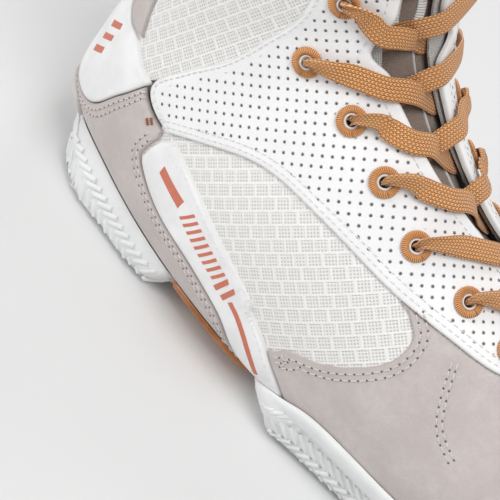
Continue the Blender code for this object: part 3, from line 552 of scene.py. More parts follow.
class Paint:
    """A material and short ways to add nodes to it."""

    def __init__(self, name, roughness, sheen=0.0, specular=0.5, coat=0.0):
        self.material = bpy.data.materials.new(name)
        self.material.use_nodes = True
        self.tree = self.material.node_tree
        self.shader = self.tree.nodes["Principled BSDF"]
        self.set("Roughness", roughness)
        self.set("Sheen Weight", sheen)
        self.set("Specular IOR Level", specular)
        self.set("Coat Weight", coat)

    def set(self, name, value):
        self.feed(self.shader.inputs[name], value)

    def node(self, kind, **settings):
        node = self.tree.nodes.new(kind)
        for key, value in settings.items():
            setattr(node, key, value)
        return node

    def feed(self, socket, value):
        if isinstance(value, bpy.types.NodeSocket):
            self.tree.links.new(value, socket)
        else:
            socket.default_value = value

    def math(self, operation, *values):
        node = self.node("ShaderNodeMath", operation=operation)
        for socket, value in zip(node.inputs, values):
            self.feed(socket, value)
        return node.outputs[0]

    def plus(self, one, two):
        return self.math("ADD", one, two)

    def minus(self, one, two):
        return self.math("SUBTRACT", one, two)

    def times(self, one, two):
        return self.math("MULTIPLY", one, two)

    def over(self, one, two):
        return self.math("DIVIDE", one, two)

    def root_of_squares(self, one, two):
        return self.math("SQRT", self.plus(self.math("POWER", one, 2.0), self.math("POWER", two, 2.0)))

    def centred(self, value):
        """A repeating coordinate from -0.5 to 0.5."""
        return self.minus(self.math("FRACT", value), 0.5)

    def ramp(self, value, low, high):
        """0 at low, 1 at high, smooth between."""
        node = self.node("ShaderNodeMapRange", interpolation_type="SMOOTHSTEP")
        self.feed(node.inputs["Value"], value)
        node.inputs["From Min"].default_value = min(low, high)
        node.inputs["From Max"].default_value = max(low, high)
        node.inputs["To Min"].default_value = 0.0 if low < high else 1.0
        node.inputs["To Max"].default_value = 1.0 if low < high else 0.0
        return node.outputs["Result"]

    def mix(self, share, one, two):
        node = self.node("ShaderNodeMix", data_type="RGBA")
        self.feed(node.inputs[0], share)
        self.feed(node.inputs[6], one)
        self.feed(node.inputs[7], two)
        return node.outputs[2]

    def place(self):
        """Position in the object's frame, in millimetres."""
        coordinate = self.tree.nodes.new("ShaderNodeTexCoord").outputs["Object"]
        scaled = self.node("ShaderNodeVectorMath", operation="SCALE")
        self.feed(scaled.inputs[0], coordinate)
        scaled.inputs["Scale"].default_value = 1 / MM
        return scaled.outputs[0]

    def pattern(self):
        """The pattern's x and y, in millimetres along the cloth."""
        layer = self.node("ShaderNodeUVMap", uv_map="pattern").outputs[0]
        split = self.node("ShaderNodeSeparateXYZ")
        self.feed(split.inputs[0], layer)
        return split.outputs[0], split.outputs[1]

    def edge(self):
        """Distance to the panel's edge, in millimetres."""
        return self.node("ShaderNodeAttribute", attribute_name="edge_mm").outputs["Fac"]

    def noise(self, vector, scale, detail=3.0, roughness=0.6):
        node = self.node("ShaderNodeTexNoise")
        self.feed(node.inputs["Vector"], vector)
        node.inputs["Scale"].default_value = scale
        node.inputs["Detail"].default_value = detail
        node.inputs["Roughness"].default_value = roughness
        return node.outputs["Fac"]

    def cells(self, vector, scale):
        node = self.node("ShaderNodeTexVoronoi", feature="F1")
        self.feed(node.inputs["Vector"], vector)
        node.inputs["Scale"].default_value = scale
        return node.outputs["Distance"]

    def bump(self, height, depth):
        """Relief of a depth in millimetres."""
        node = self.node("ShaderNodeBump")
        self.feed(node.inputs["Height"], height)
        node.inputs["Distance"].default_value = depth * MM
        node.inputs["Strength"].default_value = 1.0
        before = self.shader.inputs["Normal"].links
        if before:
            self.tree.links.new(before[0].from_socket, node.inputs["Normal"])
        self.tree.links.new(node.outputs["Normal"], self.shader.inputs["Normal"])

    def colour(self, value):
        self.set("Base Color", value)


WHITE = srgb(246, 246, 246)
WARM_WHITE = srgb(246, 245, 243)
# The lace's one colour as painted light and shade: lit on the plaits' crests, shaded in the grooves
# between them.
LACE_LIT = srgb(250, 190, 124)
LACE_SHADED = srgb(164, 94, 42)
PRINT = srgb(205, 118, 96)

HOLE_PITCH = 3.42
PLAIN_BORDER = 3.4  # width of the facing's edge without punched holes
PLAIT_COLUMNS = 7
PLAIT_LENGTH = 1.25
BRAID_WIDTH = 8.0


def leather_grain(paint, depth=0.05):
    place = paint.place()
    pebbles = paint.cells(place, 1.6)
    soft = paint.noise(place, 0.5, 4.0)
    paint.bump(paint.plus(paint.times(pebbles, 0.6), soft), depth)


def perforated_leather(name):
    """Smooth leather with straight rows of punched holes that stop short of the edges."""
    paint = Paint(name, roughness=0.48, specular=0.4)
    x, y = paint.pattern()
    across = paint.centred(paint.over(x, HOLE_PITCH))
    along = paint.centred(paint.over(y, HOLE_PITCH))
    radius = paint.times(paint.root_of_squares(across, along), HOLE_PITCH)
    punched = paint.ramp(paint.edge(), PLAIN_BORDER, PLAIN_BORDER + 0.5)
    hole = paint.times(paint.ramp(radius, 0.56, 0.36), punched)
    shade = paint.noise(paint.place(), 0.035, 2.0)
    base = paint.mix(paint.ramp(shade, 0.3, 0.7), WHITE, srgb(240, 240, 241))
    # The colour turns darker towards the panel's edge.
    wear_and_edge_tint = paint.mix(paint.ramp(paint.edge(), 0.9, 0.1), base, srgb(226, 225, 223))
    # Painted shade: the punched holes are coloured dark as the shade inside them.
    paint.colour(paint.mix(hole, wear_and_edge_tint, srgb(96, 90, 88)))
    leather_grain(paint)
    dent = paint.times(paint.ramp(radius, 0.75, 0.35), punched)
    paint.bump(paint.minus(1.0, dent), 0.35)
    return paint.material


def smooth_leather(name, tint=WHITE):
    paint = Paint(name, roughness=0.42, specular=0.45)
    shade = paint.noise(paint.place(), 0.05, 3.0)
    base = paint.mix(paint.ramp(shade, 0.3, 0.7), tint, srgb(232, 232, 233))
    paint.colour(paint.mix(paint.ramp(paint.edge(), 1.0, 0.1), base, srgb(222, 221, 220)))
    leather_grain(paint, 0.035)
    return paint.material


def suede(name):
    """Short nap: fine grain, brushed patches a little lighter or darker, the colour darker towards the
    panel's edges.
    """
    paint = Paint(name, roughness=0.95, sheen=0.35, specular=0.15)
    paint.set("Sheen Roughness", 0.6)
    paint.set("Sheen Tint", (0.95, 0.92, 0.9, 1.0))
    place = paint.place()
    patches = paint.noise(place, 0.06, 4.0, 0.55)
    brushed = paint.noise(place, 0.35, 5.0, 0.7)
    nap = paint.noise(place, 3.2, 3.0, 0.8)
    tone = paint.mix(paint.ramp(patches, 0.3, 0.7), srgb(196, 186, 183), srgb(210, 201, 198))
    tone = paint.mix(paint.times(paint.ramp(brushed, 0.35, 0.7), 0.45), tone, srgb(188, 177, 174))
    tone = paint.mix(paint.times(paint.ramp(nap, 0.3, 0.75), 0.35), tone, srgb(220, 212, 209))
    paint.colour(paint.mix(paint.times(paint.ramp(paint.edge(), 0.8, 0.1), 0.6), tone,
                           srgb(176, 166, 162)))
    paint.bump(paint.plus(nap, paint.times(brushed, 1.5)), 0.22)
    return paint.material


def block_mesh(name):
    """Sandwich mesh: small blocks of fine holes between raised ribs, in staggered rows."""
    paint = Paint(name, roughness=0.85, sheen=0.25, specular=0.2)
    x, y = paint.pattern()
    wide, tall = 5.2, 4.5
    row = paint.math("FLOOR", paint.over(y, tall))
    shift = paint.math("FRACT", paint.times(row, 0.5))
    column = paint.plus(paint.over(x, wide), shift)
    cell_x = paint.math("ABSOLUTE", paint.centred(column))
    cell_y = paint.math("ABSOLUTE", paint.centred(paint.over(y, tall)))
    block = paint.times(paint.ramp(cell_x, 0.47, 0.36), paint.ramp(cell_y, 0.46, 0.34))
    fine = 1.13
    radius = paint.root_of_squares(paint.centred(paint.over(x, fine)), paint.centred(paint.over(y, fine)))
    hole = paint.times(paint.ramp(radius, 0.40, 0.18), block)
    fuzz = paint.noise(paint.place(), 2.4, 3.0, 0.7)
    yarn = paint.mix(paint.times(paint.ramp(fuzz, 0.3, 0.7), 0.5), WARM_WHITE, srgb(236, 235, 233))
    # Painted shade: the sunk blocks are coloured a little darker as shade in their recess between the
    # ribs.
    shaded_blocks = paint.mix(paint.times(block, 0.3), yarn, srgb(232, 231, 228))
    # Painted shade: the fine holes are coloured darker as the shade inside them.
    paint.colour(paint.mix(paint.times(hole, 0.7), shaded_blocks, srgb(196, 194, 190)))
    paint.bump(paint.minus(paint.times(paint.minus(1.0, block), 0.5), paint.times(hole, 0.6)), 0.3)
    paint.bump(fuzz, 0.12)
    return paint.material


def knitted(name, light, dark, pitch=1.1, sheen=0.2):
    """Plain knit: staggered rows of small loops."""
    paint = Paint(name, roughness=0.92, sheen=sheen, specular=0.15)
    x, y = paint.pattern()
    wave_x = paint.math("SINE", paint.times(x, 2 * math.pi / pitch))
    wave_y = paint.math("SINE", paint.times(y, 2 * math.pi / pitch))
    loops = paint.times(wave_x, wave_y)
    fuzz = paint.noise(paint.place(), 1.6, 4.0, 0.7)
    height = paint.plus(paint.times(loops, 0.5), fuzz)
    # Painted shade in part: the knit is coloured darker where it lies low, between the loops, mixed with
    # random tone from the fuzz.
    paint.colour(paint.mix(paint.ramp(height, 0.1, 0.95), dark, light))
    paint.bump(height, 0.25)
    return paint.material


def moulded_rubber(name):
    """White rubber with a faint speckle."""
    paint = Paint(name, roughness=0.46, specular=0.4)
    place = paint.place()
    soft = paint.noise(place, 0.05, 3.0)
    speckle = paint.noise(place, 1.8, 3.0, 0.7)
    base = paint.mix(paint.ramp(soft, 0.3, 0.7), srgb(236, 237, 237), srgb(226, 227, 227))
    paint.colour(paint.mix(paint.times(paint.ramp(speckle, 0.55, 0.8), 0.25), base,
                           srgb(214, 214, 213)))
    paint.bump(speckle, 0.05)
    return paint.material


def thread(name, light, dark):
    """Twisted sewing thread."""
    paint = Paint(name, roughness=0.7, sheen=0.3, specular=0.3)
    x, y = paint.pattern()
    twist = paint.math("SINE", paint.plus(paint.times(x, 9.0), paint.times(y, 6.28)))
    # Painted shade: the grooves of the twist are coloured darker than its crests.
    paint.colour(paint.mix(paint.ramp(twist, -0.9, 0.6), dark, light))
    paint.bump(twist, 0.06)
    return paint.material


def braided_lace():
    """Flat tubular braid: columns of plaits that run along the lace."""
    paint = Paint("braided_lace", roughness=0.75, sheen=0.3, specular=0.25)
    x, y = paint.pattern()  # x along the lace, y across it, both in millimetres
    across = paint.times(y, PLAIT_COLUMNS / BRAID_WIDTH)
    index = paint.math("FLOOR", across)
    inside_column = paint.centred(across)
    lean = paint.times(paint.math("ABSOLUTE", inside_column), 1.5)
    stagger = paint.math("FRACT", paint.times(index, 0.5))
    phase = paint.plus(paint.plus(paint.over(x, PLAIT_LENGTH), lean), stagger)
    plait = paint.math("ABSOLUTE", paint.centred(phase))
    groove = paint.ramp(paint.math("ABSOLUTE", inside_column), 0.50, 0.30)
    height = paint.times(paint.ramp(plait, 0.5, 0.12), groove)
    wear_and_edge_tint = paint.noise(paint.place(), 0.25, 3.0)
    # Painted light and shade: plait crests coloured lit, grooves between them coloured in shade.
    tone = paint.mix(paint.ramp(height, 0.0, 0.8), LACE_SHADED, LACE_LIT)
    paint.colour(paint.mix(paint.times(paint.ramp(wear_and_edge_tint, 0.4, 0.7), 0.3), tone, srgb(224, 154, 96)))
    paint.bump(height, 0.32)
    return paint.material


def satin_stitch():
    """Close radial threads round an eyelet; y counts turns of thread round the ring."""
    paint = Paint("satin_stitch", roughness=0.6, sheen=0.3, specular=0.3)
    x, y = paint.pattern()
    turns = paint.plus(y, paint.times(x, 0.25))
    ridge = paint.math("SINE", paint.times(turns, 2 * math.pi))
    # Painted shade: the grooves between the turns of thread are coloured darker than their crests.
    tone = paint.mix(paint.ramp(ridge, -0.9, 0.5), srgb(168, 98, 44), srgb(246, 182, 118))
    fuzz = paint.noise(paint.place(), 2.0, 3.0, 0.7)
    paint.colour(paint.mix(paint.times(paint.ramp(fuzz, 0.4, 0.75), 0.35), tone, srgb(204, 132, 74)))
    paint.bump(ridge, 0.12)
    return paint.material


def webbing(name, light, dark):
    """Tape with fine ribs across."""
    paint = Paint(name, roughness=0.8, sheen=0.25, specular=0.2)
    x, y = paint.pattern()
    rib = paint.math("ABSOLUTE", paint.math("SINE", paint.times(x, math.pi / 0.9)))
    warp = paint.math("ABSOLUTE", paint.math("SINE", paint.times(y, math.pi / 0.7)))
    height = paint.times(rib, paint.plus(paint.times(warp, 0.4), 0.6))
    # Painted shade: the hollows between the ribs are coloured darker.
    paint.colour(paint.mix(paint.ramp(height, 0.05, 0.7), dark, light))
    paint.bump(height, 0.25)
    return paint.material


def plastic(name, light, dark, roughness=0.35):
    paint = Paint(name, roughness=roughness, specular=0.5, coat=0.15)
    streak = paint.noise(paint.place(), 0.12, 3.0)
    paint.colour(paint.mix(paint.ramp(streak, 0.3, 0.7), light, dark))
    paint.bump(paint.noise(paint.place(), 1.5, 2.0), 0.03)
    return paint.material


def print_ink():
    paint = Paint("strap_print", roughness=0.55, specular=0.3)
    wear = paint.noise(paint.place(), 1.1, 4.0, 0.7)
    paint.colour(paint.mix(paint.ramp(wear, 0.45, 0.8), PRINT, srgb(216, 140, 118)))
    paint.bump(wear, 0.02)
    return paint.material


# ---------------------------------------------------------------- upper

PERFORATED = perforated_leather("perforated_leather")
SMOOTH = smooth_leather("smooth_leather")
SUEDE_SKIN = suede("suede")
MESH_CLOTH = block_mesh("block_mesh")
LINING_KNIT = knitted("lining_knit", srgb(214, 212, 208), srgb(176, 173, 168))
SOCK_KNIT = knitted("sock_knit", srgb(176, 172, 168), srgb(132, 128, 124), 1.6)
TONGUE_KNIT = knitted("tongue_cloth", srgb(168, 152, 140), srgb(122, 107, 96), 0.9, 0.3)
COLLAR_KNIT = knitted("collar_knit", srgb(240, 240, 238), srgb(214, 213, 210), 1.2)
RUBBER = moulded_rubber("white_rubber")
WHITE_THREAD = thread("white_thread", srgb(244, 244, 243), srgb(214, 213, 211))
SUEDE_THREAD = thread("suede_thread", srgb(232, 226, 222), srgb(196, 188, 184))
BROWN_THREAD = thread("brown_thread", srgb(168, 112, 76), srgb(128, 82, 54))
# Dark discs over the needle holes: painted shade of the holes.
NEEDLE_HOLE_SHADE = plastic("needle_hole_shade", srgb(120, 110, 106), srgb(104, 95, 92), 0.9)
LACE_BRAID = braided_lace()
SATIN = satin_stitch()
TAB_TAPE = webbing("tab_tape", srgb(240, 240, 238), srgb(205, 204, 200))
KEEPER_TAPE = webbing("keeper_tape", srgb(242, 242, 241), srgb(220, 220, 218))
BRONZE = plastic("bronze_plate", srgb(186, 118, 62), srgb(150, 88, 40), 0.3)
CLIP = plastic("heel_clip", srgb(208, 203, 199), srgb(192, 187, 183), 0.3)
INK = print_ink()
SIDES = (("lateral", -1), ("medial", 1))
PUNCH_ROWS = np.array((0.66, 0.65, 0.37))  # the way the punched rows run on the lateral side


def on_side(points, side):
    return to_medial(points) if side > 0 else np.asarray(points, float)


def eyelet_place(row, side):
    u, v = EYELETS[row]
    if side < 0:
        return u, v
    u -= MEDIAL_EYELET_SHIFT
    return u, float(to_medial([(u, v)])[0, 1])


def disc(u, v, radius, count=14):
    """A circle in (u, v) round a place on the form, as seen on the surface."""
    flat = to_chart([(u, v)])
    along, across = chart_scale(flat)
    turn = np.linspace(0, 2 * math.pi, count, endpoint=False)
    ring = flat + np.stack((np.cos(turn) * radius / along[0], np.sin(turn) * radius / across[0]), axis=1)
    return from_chart(ring)


THROAT_FOOT = (3.72, 0.071)
ANKLE_U = 9.5
ANKLE_STEP = 0.035


def facing_throat():
    """The facing's inner edge, from the throat's end up to the collar."""
    u = np.array((4.5, 5.4, 6.1, 6.7, 7.4, 8.3, 8.8, ANKLE_U, 10.3, 11.0, 12.2, COLLAR_EDGE))
    v = throat_centre(u) - HALF_GAP - np.where(u == ANKLE_U, ANKLE_STEP, 0.0)
    return curve(np.vstack(((THROAT_END, 0.071), (4.15, 0.05), np.stack((u, v), axis=1))))


def build_facings():
    for name, side in SIDES:
        outline = join(facing_throat(), curve(FACING_UPPER), curve(FACING_LOWER)[:-1], [THROAT_FOOT])
        holes = [disc(*eyelet_place(row, side), HOLE_RADIUS) for row in range(len(EYELETS))]
        towards = PUNCH_ROWS if side < 0 else PUNCH_ROWS * (1, -1, 1)
        panel(f"facing_{name}", on_side(outline, side), *OVERLAY, PERFORATED, "white_leather",
              nodes=(f"eyestay_{name}",), holes=holes, towards=towards, grid=GRID * 0.9)


def build_quarters():
    quarter = join(curve(((4.20, -0.135), (5.60, -0.20), (6.40, -0.24), (7.20, -0.29), (7.90, -0.36),
                          (8.40, -0.45), (8.43, -0.56), (7.90, -0.60))),
                   curve(((7.90, -0.60), (7.40, -0.68), (7.24, -0.76), (7.20, -0.88))), [(4.20, -0.88)])
    collar = join(curve(((9.20, -0.46), (9.45, -0.38), (10.0, -0.34), (10.7, -0.31),
                         (COLLAR_EDGE, -0.31))),
                  curve(((COLLAR_EDGE, -0.88), (11.6, -0.86), (10.6, -0.80), (9.90, -0.64),
                         (9.20, -0.54))))
    for name, side in SIDES:
        towards = np.array((0.62, 0.27, 0.73)) * (1, 1 if side < 0 else -1, 1)
        for part, outline in (("quarter", quarter), ("collar", collar)):
            panel(f"{part}_cloth_{name}", on_side(outline, side), *MIDDLE, MESH_CLOTH, "white_mesh",
                  nodes=(f"{part}_mesh_{name}",), towards=towards, edge_round=0.2, crown=0.45)


def build_suede():
    gap = EDGE_GAP
    along_strap = moved(STRAP_FRONT[:5], -0.02, gap)
    window = curve(WINDOW_FRONT)
    along_facing = moved(FACING_LOWER[6:], -0.02, -gap * 0.5)
    half = join([(2.33, -0.88), (5.04, -0.88)], curve(along_strap), window, curve(along_facing))[:-1]
    outline = join(half, [(3.69, 0.072)], to_medial(half))
    panel("vamp_suede", outline, *OVERLAY, SUEDE_SKIN, "grey_suede", nodes=("vamp",), edge_round=0.5)
    tip = 0.02
    cap = [(CAP_SEAM, 0.88), (CAP_SEAM, -0.88), (tip, -0.88), (tip, 0.88)]
    panel("toe_cap_suede", join(cap), OVERLAY[0] + 0.1, OVERLAY[1] + 0.15, SUEDE_SKIN, "grey_suede",
          body="toe", nodes=("toe_cap",), edge_round=0.5)

    lower = curve(((8.7, 1.0), (8.4, 1.12), (7.5, 1.12), (5.88, 1.12)))
    strap_side = np.array([(u + 0.03, v + 2 - gap) for u, v in reversed(STRAP_BACK[:-1])])
    side = curve(np.vstack(((5.88, 1.12), strap_side)))
    upper = curve(((9.08, 1.465),) + HEEL_TOP[1:])[:-1]
    lateral = join(lower, side, [(8.42, 1.492)], upper, [HEEL_TOP[-1]])
    outline = join(lateral, mirrored(lateral)[1:-1])
    panel("heel_suede", outline, *OVERLAY, SUEDE_SKIN, "grey_suede", nodes=("heel_overlay",),
          towards=(0, 0, 1), edge_round=0.5)
    patch = join(curve(((13.5, 1.14), (12.0, 1.16), (10.9, 1.20), (10.3, 1.30), (10.02, 1.37))),
                 curve(((10.02, 1.37), (10.3, 1.35), (10.9, 1.315), (12.0, 1.31), (13.5, 1.32))))
    for name, side in SIDES:
        line = mirrored(patch) if side > 0 else patch
        panel(f"ankle_suede_{name}", line, *OVERLAY, SUEDE_SKIN, "grey_suede",
              nodes=(f"ankle_patch_{name}",), towards=(0, 0, 1))


def build_smooth_leather():
    strap = join(curve(STRAP_BACK), curve(STRAP_FRONT))
    for name, side in SIDES:
        panel(f"strap_{name}", on_side(strap, side), OVERLAY[0] - 0.4, OVERLAY[1] + 0.1, SMOOTH,
              "white_leather", nodes=(f"support_strap_{name}",), edge_round=0.7, crown=0.25)
    stay = join(curve(BACKSTAY_SIDE), moved(curve(HEEL_TOP), 0.02, 0.0))[:-1]
    outline = join(stay, [(9.52, 1.0)], mirrored(stay))
    panel("backstay_leather", outline, OVERLAY[0] - 0.2, OVERLAY[1], SMOOTH, "white_leather",
          nodes=("backstay",), towards=(0, 0, 1), edge_round=0.5)
    clip = curve(((8.87, 1.0), (8.78, 1.11), (8.66, 1.19), (8.86, 1.215), (9.15, 1.15), (9.30, 1.0)))
    panel("heel_clip", join(clip, mirrored(clip)[1:-1]), 3.95, 5.4, CLIP, "heel_plastic",
          nodes=("heel_bumper",), towards=(0, 0, 1), edge_round=0.6, crown=0.5, grid=GRID * 0.8)


TICK_START = 7.42
TICK_END = 6.78
TICK_COUNT = 9
STRIPE_WIDTH = 0.11


def build_prints():
    """The strap's coloured bars; a row of plain slanted ticks fills the middle."""
    level = OVERLAY[1] + 0.34  # the strap's outer face, crown included
    wide = 0.055
    marks = [((7.985, -0.513), (7.92, -0.524), (7.50, -0.514), (7.55, -0.504))]
    for u in np.linspace(TICK_START, TICK_END, TICK_COUNT):
        marks.append(((u, -0.517), (u - 0.02, -0.501), (u - wide, -0.501), (u - 0.035, -0.517)))
    for u in (6.69, 6.58):
        marks.append(((u, -0.522), (u, -0.501), (u - wide, -0.502), (u - wide, -0.523)))
    middle = curve(((6.48, -0.513), (6.30, -0.521), (6.11, -0.543), (5.93, -0.582), (5.79, -0.632)))
    long_bar = join(inset(middle, 1.0, closed=False), inset(middle, -1.0, closed=False)[::-1])
    for name, side in SIDES:
        for k, mark in enumerate(marks + [long_bar]):
            panel(f"strap_print_{name}_{k + 1}", on_side(mark, side), level - 0.1, level + 0.02, INK,
                  "white_leather", grid=1.5, edge_round=0)
        for k, low in enumerate((9.58, 9.82, 10.06)):
            high = low + STRIPE_WIDTH
            stripe = np.array(((low, 1.226), (low, 1.284), (high, 1.278), (high, 1.220)))
            line = mirrored(stripe) if side > 0 else stripe
            panel(f"heel_stripe_{name}_{k + 1}", line, OVERLAY[1] - 0.05, OVERLAY[1] + 0.08, INK,
                  "white_leather", grid=1.5, edge_round=0)


def build_lining():
    gap = HALF_GAP + 0.012
    u = np.linspace(4.0, COLLAR_EDGE + 0.1, 24)
    medial = np.stack((u, throat_centre(u) + gap), axis=1)
    lateral = np.stack((u, throat_centre(u) - gap + 2), axis=1)[::-1]
    loop = curve(((3.96, 1.12), (7.5, 1.12), (8.4, 1.12), (8.75, 1.0)))
    outline = join(loop, mirrored(loop)[1:-1], medial, lateral)
    holes = [disc(*eyelet_place(row, side), HOLE_RADIUS + 0.5) + (0, 2 if side < 0 else 0)
             for _, side in SIDES for row in range(len(EYELETS))]
    panel("shaft_lining", outline, *LINING, LINING_KNIT, "lining_fabric", edge_round=0,
          nodes=("lining_leg", "lining_quarter"), holes=holes, towards=(0, 0, 1), grid=GRID * 1.3)
    vamp = join([(3.93, 0.88), (3.93, -0.88), (0.03, -0.88), (0.03, 0.88)])
    panel("vamp_lining", vamp, *LINING, LINING_KNIT, "lining_fabric", nodes=("lining_vamp",),
          edge_round=0, grid=GRID * 1.3)


TONGUE_NECK = 14.1  # where the tongue's straight sides end and its rounded top starts
TONGUE_HALF = 0.19
GROOVE_V = 0.028  # a shallow groove beside the tongue's middle, under its piping
GROOVE_HALF = 0.004
GROOVE_DEPTH = 0.15


def tongue_line(start, foot, half):
    """A line up the tongue, from a distance foot off its middle to a distance half."""
    u = np.linspace(start, TONGUE_NECK, 16)
    away = np.interp(u, (start, start + 0.8), (foot, half))
    return np.stack((u, throat_centre(u) + away), axis=1)


def build_tongue():
    centre = float(throat_centre(14.5))
    tip = curve(((TONGUE_NECK, centre + TONGUE_HALF), (14.4, centre + 0.188), (14.72, centre + 0.13),
                 (14.85, centre)))
    side = join(tongue_line(4.25, 0.10, TONGUE_HALF)[:-1], tip)
    other = np.stack((side[:, 0], 2 * throat_centre(side[:, 0]) - side[:, 1]), axis=1)[::-1]

    def padded_face(u, v, edge):
        groove = np.abs(v - throat_centre(u) - GROOVE_V) < GROOVE_HALF
        return TONGUE[1] - GROOVE_DEPTH * groove

    tongue = panel("tongue_cloth", join(side, other[1:]), TONGUE[0], padded_face, TONGUE_KNIT,
                   "tongue_fabric", body="tongue", nodes=("tongue", "tongue_top"), edge_round=1.2,
                   crown=0.5, towards=(0, 0, 1))
    piping = tongue_line(4.4, 0.026, 0.026)
    strip = join(piping, moved(piping, 0, 0.008)[::-1])
    panel("tongue_piping", strip, TONGUE[1] + 0.2, TONGUE[1] + 1.0,
          smooth_leather("piping", srgb(226, 218, 212)), "tongue_fabric", edge_round=0.3, grid=1.5,
          towards=(0, 0, 1))


ROLL_BULGE = 1.6
ROLL_EDGE = 3.2  # how far from its edges the roll is still curving


def build_collar():
    low = COLLAR_EDGE + 0.02
    centre = float(throat_centre(14.0))
    outline = join([(low, centre + HALF_GAP), (14.0, centre + HALF_GAP)],
                   [(14.0, 2 + centre - HALF_GAP), (low, 2 + centre - HALF_GAP)])

    def bulge(edge):
        share = np.clip(edge / ROLL_EDGE, 0, 1)
        return ROLL_BULGE * np.sqrt(share * (2 - share))

    collar = panel("collar_roll", outline, lambda u, v, edge: 0.4 - 1.5 * bulge(edge),
                   lambda u, v, edge: 2.4 + 1.5 * bulge(edge), COLLAR_KNIT, "collar_fabric",
                   nodes=("collar_binding",), edge_round=0, grid=GRID * 0.8, towards=(0, 0, 1))


# ---------------------------------------------------------------- stitching

def walk(line, offset, pitch):
    """Evenly spaced places along a line over the form: centres, directions and normals."""
    fine = spaced(line, 0.5, closed=False)
    place = skin(fine[:, 0], fine[:, 1], offset)
    length = np.concatenate(([0], np.cumsum(np.linalg.norm(np.diff(place, axis=0), axis=1))))
    count = max(2, int(length[-1] / pitch))
    at = (np.arange(count) + 0.5) * length[-1] / count
    centre = np.stack([np.interp(at, length, place[:, k]) for k in range(3)], axis=1)
    ahead = np.stack([np.interp(at + 0.4, length, place[:, k]) - np.interp(at - 0.4, length, place[:, k])
                      for k in range(3)], axis=1)
    ahead /= np.linalg.norm(ahead, axis=1, keepdims=True) + 1e-12
    u = np.interp(at, length, fine[:, 0])
    v = np.interp(at, length, fine[:, 1])
    return centre, ahead, outward(u, v)


STITCH_SIDES = 6
# Sections of a stitch: place along its length, share of its width, height above the surface.
STITCH_STATIONS = ((-0.5, 0.25, -0.28), (-0.38, 0.75, 0.02), (0.0, 1.0, 0.12), (0.38, 0.75, 0.02),
                   (0.5, 0.25, -0.28))
NEEDLE_HOLE = 0.42
NEEDLE_CORNERS = 6


def stitches(name, lines, offset, material, pitch=3.0, length=2.3, width=0.62, body="boot",
             holes=None):
    """Rows of sewn stitches: short arched threads that dip into the surface at both ends."""
    points, faces, layer = [], [], []
    hole_points, hole_faces = [], []
    turn = np.linspace(0, 2 * math.pi, STITCH_SIDES, endpoint=False)
    for line in lines:
        centres, aheads, normals = walk(line, offset, pitch)
        for centre, ahead, normal in zip(centres, aheads, normals):
            across = np.cross(normal, ahead)
            across /= np.linalg.norm(across)
            first = len(points)
            for along, size, lift in STITCH_STATIONS:
                middle = centre + ahead * along * length + normal * lift
                for angle in turn:
                    points.append(middle + across * math.cos(angle) * width / 2 * size
                                  + normal * math.sin(angle) * width / 2 * size)
                    layer.append((along * length, angle / (2 * math.pi)))
            faces += tube_faces(first, len(STITCH_STATIONS), STITCH_SIDES)
            # A dark disc at each needle hole: painted shade of the hole.
            if holes is not None:
                start = len(hole_points)
                spot = centre + ahead * pitch / 2 + normal * 0.03
                hole_points.append(spot + normal * 0.05)
                hole_points.append(spot - normal * 0.25)
                for k in range(NEEDLE_CORNERS):
                    angle = 2 * math.pi * k / NEEDLE_CORNERS
                    spoke = ahead * math.cos(angle) + across * math.sin(angle)
                    hole_points.append(spot + spoke * NEEDLE_HOLE)
                for k in range(NEEDLE_CORNERS):
                    a, b = start + 2 + k, start + 2 + (k + 1) % NEEDLE_CORNERS
                    hole_faces += [(start, a, b), (start + 1, b, a)]
    settle(new_object(name, points, faces, material, layer), body)
    if holes is not None:
        settle(new_object(f"{name}_holes", hole_points, hole_faces, holes), body)


def seam_lines(edge, insets):
    return [inset(edge, distance, closed=False) for distance in insets]


def build_stitching():
    top = OVERLAY[1]
    strap_front = curve(STRAP_FRONT)
    facing_low = curve(FACING_LOWER)
    facing_up = curve(FACING_UPPER)
    throat = facing_throat()
    window = curve(WINDOW_FRONT)
    strap_back = curve(STRAP_BACK)
    heel_top = curve(HEEL_TOP)
    arc = curve(((4.68, -0.211), (4.40, -0.278), (4.15, -0.324), (3.80, -0.351)))
    for name, side in SIDES:
        def lines(edge, insets):
            return [on_side(line, side) for line in seam_lines(edge, insets)]

        white = lines(facing_low, (-2.1, -4.2)) + lines(facing_up, (-2.1,)) + lines(throat, (-3.6,))
        white += lines(strap_front[20:], (-2.2,))
        stitches(f"leather_stitches_{name}", white, top, WHITE_THREAD, pitch=2.6,
                 length=2.1, width=0.5)
        grey = lines(window, (2.0, 4.2)) + lines(arc, (-0.9, 0.9))
        stitches(f"vamp_stitches_{name}", grey, top, SUEDE_THREAD, holes=NEEDLE_HOLE_SHADE)
        heel = lines(strap_back[3:90], (2.2, 4.4))
        top_line = [mirrored(line) if side > 0 else line for line in seam_lines(heel_top, (-2.0, -4.2))]
        stitches(f"heel_stitches_{name}", heel + top_line, top, SUEDE_THREAD, holes=NEEDLE_HOLE_SHADE)
        bartack = [on_side(((u, -0.529), (u, -0.515)), side) for u in (8.53, 8.555, 8.58, 8.605)]
        stitches(f"bartack_{name}", bartack, top + 0.1, BROWN_THREAD, pitch=1.5,
                 length=1.5, width=0.7)
    seam = np.stack((np.full(60, CAP_SEAM), np.linspace(0.86, -0.86, 60)), axis=1)
    stitches("cap_stitches", seam_lines(seam, (2.0, 4.0)), top + 0.15, SUEDE_THREAD,
             body="toe", holes=NEEDLE_HOLE_SHADE)


# ---------------------------------------------------------------- sole

def sole_outline(rim):
    """A rim with its mirror image; a rim that ends on the middle line keeps that point."""
    lateral = curve(rim)
    if abs(rim[-1][1] - 1) < 1e-6:
        return join(lateral[:-1], [rim[-1]], mirrored(lateral)[1:-1])
    return join(lateral, mirrored(lateral))


